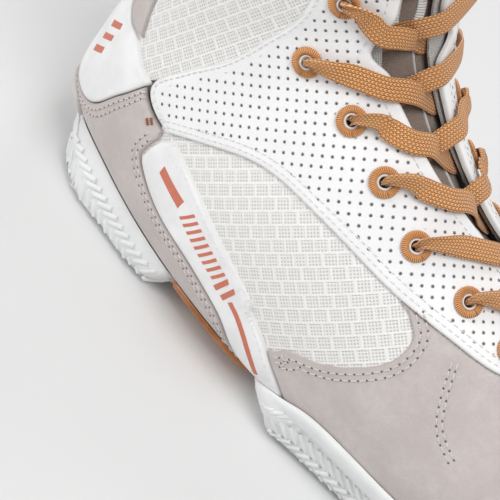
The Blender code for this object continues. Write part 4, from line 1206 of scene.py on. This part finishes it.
def rubber_inner(u, v, edge):
    """Close on the upper all along the rim, lower under the foam."""
    places = (0.35, 0.9, 5.6, 5.72, 7.05, 7.4, 8.6, 8.7)
    floor = np.interp(u, places, (RUBBER_SIDE, RUBBER_FLOOR, RUBBER_FLOOR, RUBBER_SIDE) * 2)
    share = np.clip((np.abs(v - 1) - 0.20) / 0.04, 0, 1)
    share = np.maximum(share, np.clip(1 - (edge - 1.5) / 3.0, 0, 1))
    return floor + (RUBBER_SIDE - floor) * share


RIM_REACH = 5.6  # the side wall hugs the upper at its rim
ARCH_MIDDLE = 6.3
HEEL_FLARE = 0.06  # width in v of the heel's sloping side wall
LIP_RISE = 0.35
RECESS = 0.75  # how far the ribbed wall lies behind the lip
WELL_INSIDE = 20.0  # a distance from the rim past the lip


def lip_depth(u):
    """Height of the smooth lip along the side wall's upper edge."""
    return np.interp(u, (5.8, 6.9), (4.6, 3.2))


def wall_edges(u):
    """How far from the sole's middle line, in v, the side wall starts at the tread and is upright."""
    rim_u, rim_v = np.array(HEEL_RIM).T
    rim = np.interp(u, rim_u, rim_v - 1)
    heel = u > ARCH_MIDDLE
    return np.where(heel, np.maximum(rim - HEEL_FLARE, 0.0), 0.26), np.where(heel, rim, 0.36)


def rubber_outer(u, v, edge):
    """The side wall under its lip, turning out to a square edge at the ground."""
    places = (0.3, 1.3, 5.4, 5.76, 6.95, 7.1, 7.6, 8.0, 8.4, 8.8)
    reaches = (SIDE_WALL, TREAD_REACH, TREAD_REACH, THIN_END, 8.0, 15.0, 18.0, 21.0, 17.0, HEEL_BACK)
    reach = np.interp(u, places, reaches)
    side = np.abs(v - 1)
    low, high = wall_edges(u)
    share = np.clip((side - low) / np.maximum(high - low, 1e-3), 0, 1)
    hug = np.clip(edge / 6.0, 0, 1)
    wall_reach = np.minimum(RIM_REACH + (SIDE_WALL - RIM_REACH) * hug, reach)
    base = reach + (wall_reach - reach) * share
    lip = np.clip((lip_depth(u) + 0.6 - edge) / 0.9, 0, 1)
    lip = lip * lip * (3 - 2 * lip)
    wall = np.clip((side - low + 0.03) / 0.03, 0, 1)
    return base + LIP_RISE * lip - RECESS * (1 - lip) * wall


def wall_skin(u, v):
    """Points on the rubber's outer face, inside its lip."""
    return skin(u, v, rubber_outer(u, v, np.full(len(u), WELL_INSIDE)))


def raised_ground(x):
    return ground_height(x) + TREAD_DEPTH


CHEVRON_PITCH = 4.1
CHEVRON_WIDTH = 3.2
CHEVRON_RISE = 0.25
CHEVRON_ROOT = 1.4  # how deep a rib stands in the wall
CHEVRON_BEVEL = 0.45
CHEVRON_HEIGHT = 11.0  # from one point of the zigzag to the next on the same side
CHEVRON_SWING = 2.8
RIB_FIRST_U, RIB_LAST_U = 0.05, 8.7


def ribs(name, paths, body):
    """Raised bars along paths over the side wall, each with bevelled edges and closed ends."""
    shoulder = CHEVRON_RISE - CHEVRON_BEVEL
    flat = 0.5 - CHEVRON_BEVEL / CHEVRON_WIDTH
    profile = ((-0.5, -CHEVRON_ROOT), (-0.5, shoulder), (-flat, CHEVRON_RISE), (flat, CHEVRON_RISE),
               (0.5, shoulder), (0.5, -CHEVRON_ROOT))
    points, faces, layer = [], [], []
    for path in paths:
        u, v = path.T
        out = outward(u, v)
        middle = wall_skin(u, v)
        run = np.gradient(middle, axis=0)
        run /= np.linalg.norm(run, axis=1, keepdims=True) + 1e-12
        face = np.cross(run, np.cross(out, run))
        face /= np.linalg.norm(face, axis=1, keepdims=True) + 1e-12
        across = np.cross(face, run)
        across /= np.linalg.norm(across, axis=1, keepdims=True) + 1e-12
        faces += tube_faces(len(points), len(path), len(profile))
        for i in range(len(path)):
            for a, lift in profile:
                points.append(middle[i] + face[i] * lift + across[i] * a * CHEVRON_WIDTH)
                layer.append((i, a * CHEVRON_WIDTH))
    settle(new_object(name, points, faces, RUBBER, layer, sharp=35), body)


def chevrons(rim):
    """Paths of the side wall's zigzag ribs on both sides, from under the lip down to the ground."""
    fine = spaced(curve(rim), 0.5, closed=False)
    place = skin(fine[:, 0], fine[:, 1], SIDE_WALL)
    length = np.concatenate(([0], np.cumsum(np.linalg.norm(np.diff(place, axis=0), axis=1))))
    paths = []
    count = int(length[-1] / CHEVRON_PITCH)
    for k in range(count):
        at = (k + 0.5) * length[-1] / count
        u0 = float(np.interp(at, length, fine[:, 0]))
        v0 = float(np.interp(at, length, fine[:, 1]))
        v = np.linspace(v0, 1.10, 60)
        spots = wall_skin(np.full(60, u0), v)
        drop = np.concatenate(([0], np.cumsum(np.linalg.norm(np.diff(spots, axis=0), axis=1))))
        one = np.linalg.norm(skin(u0 + 0.05, v0, SIDE_WALL) - skin(u0 - 0.05, v0, SIDE_WALL)) / 0.1
        lip = float(lip_depth(u0))
        depth = np.arange(lip + 0.7, drop[-1], 0.75)
        phase = ((depth - lip) / CHEVRON_HEIGHT) % 1
        lean = CHEVRON_SWING * (1 - np.abs(2 * phase - 1) * 2) / one
        path = np.stack((u0 + lean, np.interp(depth, drop, v)), axis=1)
        spots = wall_skin(path[:, 0], path[:, 1])
        low = np.nonzero(spots[:, 2] < raised_ground(spots[:, 0]) + 0.2)[0]
        if len(low):
            path = path[:low[0]]
        path = path[(path[:, 0] > RIB_FIRST_U) & (path[:, 0] < RIB_LAST_U)]
        if len(path) > 2:
            paths.append(path)
    other = [np.stack((path[:, 0], 2 - path[:, 1]), axis=1) for path in paths]
    return paths + other


def footprint():
    """x, and the medial and lateral edges in y, of the area where the sole meets the ground."""
    rows = []
    for u in np.linspace(0.5, 9.1, 160):
        v = np.linspace(0.55, 1.45, 181)
        points = wall_skin(np.full(len(v), u), v)
        low = points[points[:, 2] < raised_ground(points[:, 0]) + 0.15]
        if len(low) > 3:
            rows.append((low[:, 0].mean(), low[:, 1].min(), low[:, 1].max()))
    rows = np.array(rows)
    return rows[np.argsort(rows[:, 0])]


TREAD_PITCH = 6.5
TREAD_WAVE = 9.0
TREAD_SWING = 1.3
TREAD_WIDTH = 3.4
TREAD_MARGIN = 3.0  # from the edge of the area that meets the ground
TREAD_SHORTEST = 8.0
# Section of a bar: share of its width, height above the ground.
TREAD_PROFILE = ((-0.5, 2.2), (-0.5, 0.5), (-0.4, 0.02), (0.4, 0.02), (0.5, 0.5), (0.5, 2.2))


def tread(name, start, end, body, prints):
    """Herringbone bars under the sole between two values of x."""
    points, faces = [], []
    for x0 in np.arange(start + 2.5, end - 2.0, TREAD_PITCH):
        low = float(np.interp(x0, prints[:, 0], prints[:, 1])) + TREAD_MARGIN
        high = float(np.interp(x0, prints[:, 0], prints[:, 2])) - TREAD_MARGIN
        if high - low < TREAD_SHORTEST:
            continue
        y = np.arange(low, high, TREAD_WAVE / 8)
        x = x0 + TREAD_SWING * (np.abs((y / TREAD_WAVE) % 1 - 0.5) * 4 - 1)
        faces += tube_faces(len(points), len(y), len(TREAD_PROFILE))
        for i in range(len(y)):
            bottom = float(ground_height(x[i]))
            points += [(x[i] + a * TREAD_WIDTH, y[i], bottom + lift) for a, lift in TREAD_PROFILE]
    layer = [(p[0], p[1]) for p in points]
    settle(new_object(name, points, faces, RUBBER, layer, sharp=35), body)


def build_sole():
    prints = footprint()
    for part, rim, body in (("heel", HEEL_RIM, "boot"), ("forefoot", BALL_RIM, "boot"),
                            ("toe", TOE_RIM, "toe")):
        panel(f"{part}_rubber", sole_outline(rim), rubber_inner, rubber_outer, RUBBER, "white_rubber",
              body=body, nodes=(f"outsole_{part}",), edge_round=0.9, floor=raised_ground,
              grid=GRID * 1.05)
        ribs(f"{part}_chevrons", chevrons(rim), body)
    joint = skin((TOE_RIM[0][0] + BALL_RIM[-1][0]) / 2, 1.0)[0, 0]
    tread("heel_tread", prints[0, 0], skin(7.35, 1.0)[0, 0], "boot", prints)
    tread("forefoot_tread", skin(5.4, 1.0)[0, 0], joint - 1, "boot", prints)
    tread("toe_tread", joint + 1, prints[-1, 0], "toe", prints)

    shank = curve(((6.87, 1.20), (6.87, 1.258), (6.6, 1.280), (6.25, 1.288), (6.0, 1.272), (5.85, 1.20)))
    panel("arch_plate", join(shank, mirrored(shank)), *ARCH_PLATE, BRONZE, "arch_plastic",
          nodes=("arch_shank",), edge_round=0.6, crown=0.4)
    foam = plastic("sole_foam", srgb(232, 230, 224), srgb(220, 217, 210), 0.85)
    ball = curve(((5.4, 1.18), (3.0, 1.18), (1.4, 1.18), (1.0, 1.1)))
    panel("ball_foam", join(ball, mirrored(ball)), *FOAM, foam, "foam", nodes=("midsole_forefoot",))
    heel = curve(((7.42, 1.12), (7.55, 1.18), (8.2, 1.18), (8.5, 1.10), (8.55, 1.0)))
    panel("heel_foam", join(heel, mirrored(heel)[1:]), *FOAM, foam, "foam", nodes=("midsole_heel",))
    bed = curve(((0.55, 1.12), (1.0, 1.22), (2.5, 1.26), (5.0, 1.26), (7.5, 1.26), (8.3, 1.20),
                 (8.6, 1.0)))
    outline = join(bed, mirrored(bed)[1:])
    fibre = plastic("board", srgb(176, 152, 118), srgb(150, 126, 94), 0.9)
    panel("lasting_board", outline, *INSOLE_BOARD, fibre, "fibre_board", nodes=("insole_board",))
    panel("foot_bed", outline, *FOOT_BED, SOCK_KNIT, "sock_fabric", nodes=("sockliner",),
          edge_round=0.6)


def build_stiffeners():
    """The layers inside the upper keep their shapes and get their own cloth."""
    cloth = knitted("stiffener_cloth", srgb(206, 200, 192), srgb(172, 165, 156), 0.8)
    for node in ("toe_puff", "heel_counter"):
        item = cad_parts[node]
        item.data.materials.clear()
        item.data.materials.append(cloth)


# ---------------------------------------------------------------- eyelets, lace and tabs

def basis(u, v):
    """Directions at a place on the form: towards the toe, across, outwards."""
    normal = outward(np.array([u]), np.array([v]))[0]
    ahead = (skin(u - 0.1, v) - skin(u + 0.1, v))[0]
    ahead -= normal * (ahead @ normal)
    ahead /= np.linalg.norm(ahead)
    return ahead, np.cross(normal, ahead), normal


def ring(name, u, v, lift, radius, thickness, flatness, ridges, ridge, material, nodes=()):
    """A ring lying on the form, with fine radial ridges where it is sewn."""
    ahead, across, normal = basis(u, v)
    centre = skin(u, v, lift)[0]
    around = (132) if ridges else 40
    sides = 12
    points, layer = [], []
    for i in range(around):
        turn = 2 * math.pi * i / around
        spoke = ahead * math.cos(turn) + across * math.sin(turn)
        bulge = ridge * math.cos(ridges * turn)
        for k in range(sides):
            angle = 2 * math.pi * k / sides
            away = (thickness + bulge) * math.cos(angle)
            points.append(centre + spoke * (radius + away)
                          + normal * (thickness * flatness + bulge) * math.sin(angle))
            layer.append((k * thickness * 0.5, i * ridges / around))
    item = new_object(name, points, tube_faces(0, around, sides, closed=True), material, layer, sharp=80)
    settle(item, "boot", nodes)


def build_eyelets():
    grommet = webbing("grommet_thread", srgb(240, 240, 238), srgb(220, 219, 216))
    for name, side in SIDES:
        for row in range(len(EYELETS)):
            u, v = eyelet_place(row, side)
            ring(f"ring_{name}_{row + 1}", u, v, OVERLAY[1] + 0.55, RING_RADIUS, RING_THICKNESS, 0.62,
                 44, 0.12, SATIN, (f"eyelet_{name}_{row + 1}",))
            ring(f"grommet_{name}_{row + 1}", u, v, OVERLAY[1] + 0.15, GROMMET_RADIUS,
                 GROMMET_THICKNESS, 1.2, 0, 0, grommet)


LACE_WIDTH = 7.6
LACE_THICKNESS = 1.15

# Heights of the lace above the form on its way through an eyelet, and its gathered widths there.
TURNED_IN = 3.2
IN_EYELET = 0.2
UNDER_FACING = -1.6
LEAVING_EYELET = 5.6
BESIDE_RING = 6.9
GATHERED = 2.4
LEAVING_WIDTH = 2.7
SPREADING = 3.6


def reach_of(u, v):
    """A place's distance in v from the throat's middle line."""
    return abs(v - float(throat_centre(u)))


def strand(row, side):
    """One crossing of the lace: out of sight inside an eyelet, over the gap, into the next one across.

    Each point is u, distance in v from the throat's middle, distance from the form, and width.
    """
    u0, v0 = eyelet_place(row, side)
    u1, v1 = eyelet_place(row + 1, -side)
    reach0, reach1 = reach_of(u0, v0), reach_of(u1, v1)
    pitch = EYELETS[row + 1][0] - EYELETS[row][0]
    over = 0.8 if (side > 0) == (row != 3) else -0.8
    enter = u0 + (0.10 if side < 0 else 0.0) * pitch
    leave = u1 - (0.62 if side > 0 else 0.45) * pitch
    step = (leave - enter) / 4
    wide = LACE_WIDTH
    return [
        (u0, side * reach0, TURNED_IN, GATHERED),
        (u0, side * (reach0 - 0.003), IN_EYELET, GATHERED),
        (u0 + 0.02 * pitch, side * (reach0 - 0.016), UNDER_FACING + 0.1, SPREADING),
        ((u0 + enter) / 2, side * (reach0 + HALF_GAP) / 2, UNDER_FACING, wide - 1.4),
        (enter, side * (HALF_GAP + 0.020), UNDER_FACING, wide - 0.8),
        (enter + step, side * HALF_GAP * 0.65, -0.8 + over / 3, wide - 0.4),
        ((enter + leave) / 2, 0.0, 2.0 + over, wide - 0.2),
        (leave - step, -side * HALF_GAP * 0.60, 4.8 + over / 3, wide),
        (leave, -side * (HALF_GAP + 0.018), 6.3, wide),
        (leave + (u1 - leave) * 0.45, -side * (HALF_GAP + (reach1 - HALF_GAP) * 0.45), 5.9, wide),
        (u1 - 0.16 * pitch, -side * (reach1 - 0.044), BESIDE_RING, wide * 0.74),
        (u1 - 0.01 * pitch, -side * (reach1 - 0.014), BESIDE_RING + 0.1, SPREADING),
        (u1, -side * (reach1 - 0.003), LEAVING_EYELET, LEAVING_WIDTH),
    ]


def lace_half(side):
    """One half of the lace, from the lowest eyelet on a side to its end tucked under the collar."""
    points = []
    for row in range(len(EYELETS) - 1):
        points += strand(row, side)
        side = -side
    u, v = eyelet_place(len(EYELETS) - 1, side)
    reach = reach_of(u, v)
    tail = ((0.0, 0.0, TURNED_IN, GATHERED), (0.0, 0.003, IN_EYELET, GATHERED),
            (0.03, 0.016, UNDER_FACING, SPREADING), (0.3, 0.04, UNDER_FACING, 5.5),
            (0.7, 0.04, UNDER_FACING, 5.5))
    return points + [(u - du, side * (reach - dv), lift, width) for du, dv, lift, width in tail]


def lace_line():
    """The whole lace, from one tucked end down to the bar over the lowest pair and up again."""
    lateral = lace_half(-1)
    medial = lace_half(1)
    u0, v0 = eyelet_place(0, -1)
    u1, v1 = eyelet_place(0, 1)
    bar = []
    for u, v, side, start in ((u0, v0, -1, u0 - 0.03), (u1, v1, 1, u1 + 0.03)):
        reach = reach_of(u, v)
        end = [(u, side * (reach - 0.003), LEAVING_EYELET, LEAVING_WIDTH),
               (u, side * (reach - 0.014), BESIDE_RING, SPREADING),
               (u, side * (reach - 0.045), 6.6, 5.6),
               (start, side * 0.06, 6.0, LACE_WIDTH)]
        bar += end if side < 0 else end[::-1]
    return np.array(lateral[::-1] + bar + medial)


def tape(name, centres, ups, widths, thicknesses, material, body, nodes, closed=False,
         gather=0.0, sides=20):
    """A flat band along a line: rounded edges, and gathered into folds where it is pulled narrow."""
    count = len(centres)
    if closed:
        ahead = np.roll(centres, -1, axis=0) - np.roll(centres, 1, axis=0)
        steps = np.linalg.norm(np.roll(centres, -1, axis=0) - centres, axis=1)
        length = np.concatenate(([0], np.cumsum(steps)[:-1]))
    else:
        ahead = np.gradient(centres, axis=0)
        length = np.concatenate(([0], np.cumsum(np.linalg.norm(np.diff(centres, axis=0), axis=1))))
    ahead /= np.linalg.norm(ahead, axis=1, keepdims=True) + 1e-12
    full = float(np.max(widths))
    angles = 2 * math.pi * (np.arange(sides) + 0.5) / sides
    points, layer = [], []
    for i in range(count):
        up = ups[i] - ahead[i] * (ups[i] @ ahead[i])
        up /= np.linalg.norm(up) + 1e-12
        across = np.cross(ahead[i], up)
        narrow = max(0.0, 1 - widths[i] / full)
        for angle in angles:
            a = math.copysign(abs(math.cos(angle)) ** 0.55, math.cos(angle))
            b = math.copysign(abs(math.sin(angle)) ** 0.7, math.sin(angle))
            fold = gather * narrow * math.cos(a * 2.5 * math.pi + 0.6)
            points.append(centres[i] + across * a * widths[i] / 2 + up * (b * thicknesses[i] / 2 + fold))
            layer.append((length[i], a * full / 2))
    item = new_object(name, points, tube_faces(0, count, sides, closed), material, layer, sharp=60)
    settle(item, body, nodes)


NARROWEST = 2.2
GATHERED_THICKNESS = 1.9
LEVEL_ENOUGH = 0.6  # where the lace lies this level, its face is turned towards the form's outside
LEVEL_PULL = 0.35


def build_lace():
    control = lace_line()
    u = control[:, 0]
    v = throat_centre(u) + control[:, 1]
    places = skin(u, v, control[:, 2])
    normals = outward(u, v)
    table = np.hstack((places, normals, control[:, 3:4]))
    fine = curve(table, steps=9)
    centres, normals, widths = fine[:, :3], fine[:, 3:6], fine[:, 6]
    step = np.linalg.norm(np.diff(centres, axis=0, prepend=centres[:1] - 1), axis=1)
    keep = step > 0.05
    centres, normals, widths = centres[keep], normals[keep], widths[keep]
    ahead = np.gradient(centres, axis=0)
    ahead /= np.linalg.norm(ahead, axis=1, keepdims=True)
    ups = []
    up = normals[0]
    for i in range(len(centres)):
        up = up - ahead[i] * (up @ ahead[i])
        up /= np.linalg.norm(up)
        flat = normals[i] - ahead[i] * (normals[i] @ ahead[i])
        level = np.linalg.norm(flat)
        if level > LEVEL_ENOUGH:
            target = flat / level
            if target @ up < 0:
                target = -target
            up = up + target * LEVEL_PULL
            up /= np.linalg.norm(up)
        ups.append(up)
    widths = np.clip(widths, NARROWEST, LACE_WIDTH)
    thick = np.interp(widths, (GATHERED, LACE_WIDTH), (GATHERED_THICKNESS, LACE_THICKNESS))
    tape("flat_lace", centres, np.array(ups), widths, thick, LACE_BRAID, "boot",
         ("lace",), gather=0.9, sides=24)


KEEPER_U = 10.6
KEEPER_HALF_LENGTH = 0.83
KEEPER_HALF_WIDTH = 0.043
KEEPER_SQUARENESS = 0.6


def build_keeper():
    """A rounded loop of tape sewn on the tongue, which the lace passes over."""
    turn = np.linspace(0, 2 * math.pi, 72, endpoint=False)
    round_u = np.sign(np.cos(turn)) * np.abs(np.cos(turn)) ** KEEPER_SQUARENESS
    round_v = np.sign(np.sin(turn)) * np.abs(np.sin(turn)) ** KEEPER_SQUARENESS
    u = KEEPER_U + KEEPER_HALF_LENGTH * round_u
    v = throat_centre(u) + KEEPER_HALF_WIDTH * round_v
    width, thickness = np.full(len(u), 3.4), np.full(len(u), 1.3)
    tape("keeper_loop", skin(u, v, TONGUE[1] + 0.65), outward(u, v), width, thickness, KEEPER_TAPE,
         "boot", ("lace_keeper",), closed=True, sides=16)


TAB_WIDTH = 18.0
TAB_THICKNESS = 1.5


def build_pull_tab():
    """The webbing loop behind the collar, on a base sewn with a boxed cross."""
    base = np.array(((13.3, 1.10), (13.3, 0.90), (12.1, 0.90), (12.1, 1.10)))
    panel("tab_anchor", base, 4.1, 5.4, TAB_TAPE, "tab_webbing", nodes=("pull_tab_base",),
          edge_round=0.5, crown=0.2, towards=(0, 0, 1))
    box = ((12.25, 0.92), (13.15, 0.92), (13.15, 1.08), (12.25, 1.08))
    cross = list(zip(box, box[1:] + box[:1])) + [((12.30, 0.93), (13.10, 1.07)),
                                                 ((12.30, 1.07), (13.10, 0.93))]
    stitches("tab_stitches", [np.array(line) for line in cross], 5.55, WHITE_THREAD,
             pitch=2.4, length=2.0, width=0.55)

    foot = skin(13.42, 1.0, 6.6)[0]
    low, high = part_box("pull_tab")
    height = (high.z - low.z) / MM
    radius = 3.4
    arc = np.radians(np.linspace(180, 0, 17))
    side = np.linspace(0, height - radius, 24)
    path = [(-radius, z) for z in side[:-1]]
    path += [(radius * math.cos(t), height - radius + radius * math.sin(t)) for t in arc]
    path += [(radius, z) for z in side[::-1][1:]]
    path = np.array(path)
    centres = np.stack((foot[0] - radius + path[:, 0], path[:, 0] * 0, low.z / MM + path[:, 1]), axis=1)
    run = np.gradient(path, axis=0)
    ups = np.stack((run[:, 1], run[:, 0] * 0, -run[:, 0]), axis=1)
    tape("heel_loop", centres, ups, np.full(len(path), TAB_WIDTH), np.full(len(path), TAB_THICKNESS),
         TAB_TAPE, "heel_tab", ("pull_tab",), sides=28)


# ---------------------------------------------------------------- studio

CAMERA_AZIMUTH = 23.6
CAMERA_ELEVATION = 41.8
CAMERA_ROLL = 29.8
CAMERA_DISTANCE = 0.6
CAMERA_TARGET = Vector((0.060, -0.043, 0.047))
SENSOR = 36.0
LENS = 131.4


def build_camera():
    azimuth = math.radians(CAMERA_AZIMUTH)
    elevation = math.radians(CAMERA_ELEVATION)
    roll = math.radians(CAMERA_ROLL)
    right = Vector((math.cos(azimuth), math.sin(azimuth), 0))
    back = Vector((math.sin(azimuth) * math.cos(elevation), -math.cos(azimuth) * math.cos(elevation),
                   math.sin(elevation)))
    up = back.cross(right)
    camera = bpy.data.objects.new("camera", bpy.data.cameras.new("camera"))
    bpy.context.scene.collection.objects.link(camera)
    x = right * math.cos(roll) + up * math.sin(roll)
    y = up * math.cos(roll) - right * math.sin(roll)
    place = CAMERA_TARGET + back * CAMERA_DISTANCE
    camera.matrix_world = Matrix(((x.x, y.x, back.x, place.x), (x.y, y.y, back.y, place.y),
                                  (x.z, y.z, back.z, place.z), (0, 0, 0, 1)))
    camera.data.lens = LENS
    camera.data.sensor_width = SENSOR
    camera.data.dof.use_dof = False
    bpy.context.scene.camera = camera


FLOOR_HALF = 3.0
FLOOR_HEIGHT = -0.0005


def build_floor():
    mesh = bpy.data.meshes.new("floor")
    corners = [(x * FLOOR_HALF, y * FLOOR_HALF, FLOOR_HEIGHT)
               for x, y in ((-1, -1), (1, -1), (1, 1), (-1, 1))]
    mesh.from_pydata(corners, [], [(0, 1, 2, 3)])
    paint = Paint("studio_floor", roughness=0.9, specular=0.1)
    cloud = paint.noise(paint.place(), 0.004, 2.0)
    paint.colour(paint.mix(cloud, srgb(221, 221, 221), srgb(226, 226, 226)))
    mesh.materials.append(paint.material)
    floor = bpy.data.objects.new("floor", mesh)
    bpy.context.scene.collection.objects.link(floor)


def soft_light(name, place, target, size, power):
    data = bpy.data.lights.new(name, "AREA")
    data.shape = "DISK"
    data.size = size
    data.energy = power
    lamp = bpy.data.objects.new(name, data)
    lamp.location = place
    lamp.rotation_euler = (Vector(target) - Vector(place)).to_track_quat("-Z", "Y").to_euler()
    bpy.context.scene.collection.objects.link(lamp)


def build_studio():
    world = bpy.data.worlds.new("studio")
    world.use_nodes = True
    world.node_tree.nodes["Background"].inputs["Color"].default_value = (1, 1, 1, 1)
    world.node_tree.nodes["Background"].inputs["Strength"].default_value = 0.40
    bpy.context.scene.world = world
    middle = (0.08, 0, 0.06)
    soft_light("key", (0.55, -0.35, 1.25), middle, 0.8, 9.5)
    soft_light("left", (-0.9, -0.7, 0.7), middle, 0.9, 7.5)
    soft_light("back", (0.0, 1.0, 0.9), middle, 0.9, 4.5)
    bpy.context.scene.view_settings.view_transform = "Standard"


build_camera()
build_studio()
build_floor()
build_lining()
build_quarters()
build_suede()
build_smooth_leather()
build_facings()
build_prints()
build_tongue()
build_collar()
build_sole()
build_stiffeners()
build_eyelets()
build_lace()
build_keeper()
build_pull_tab()
build_stitching()
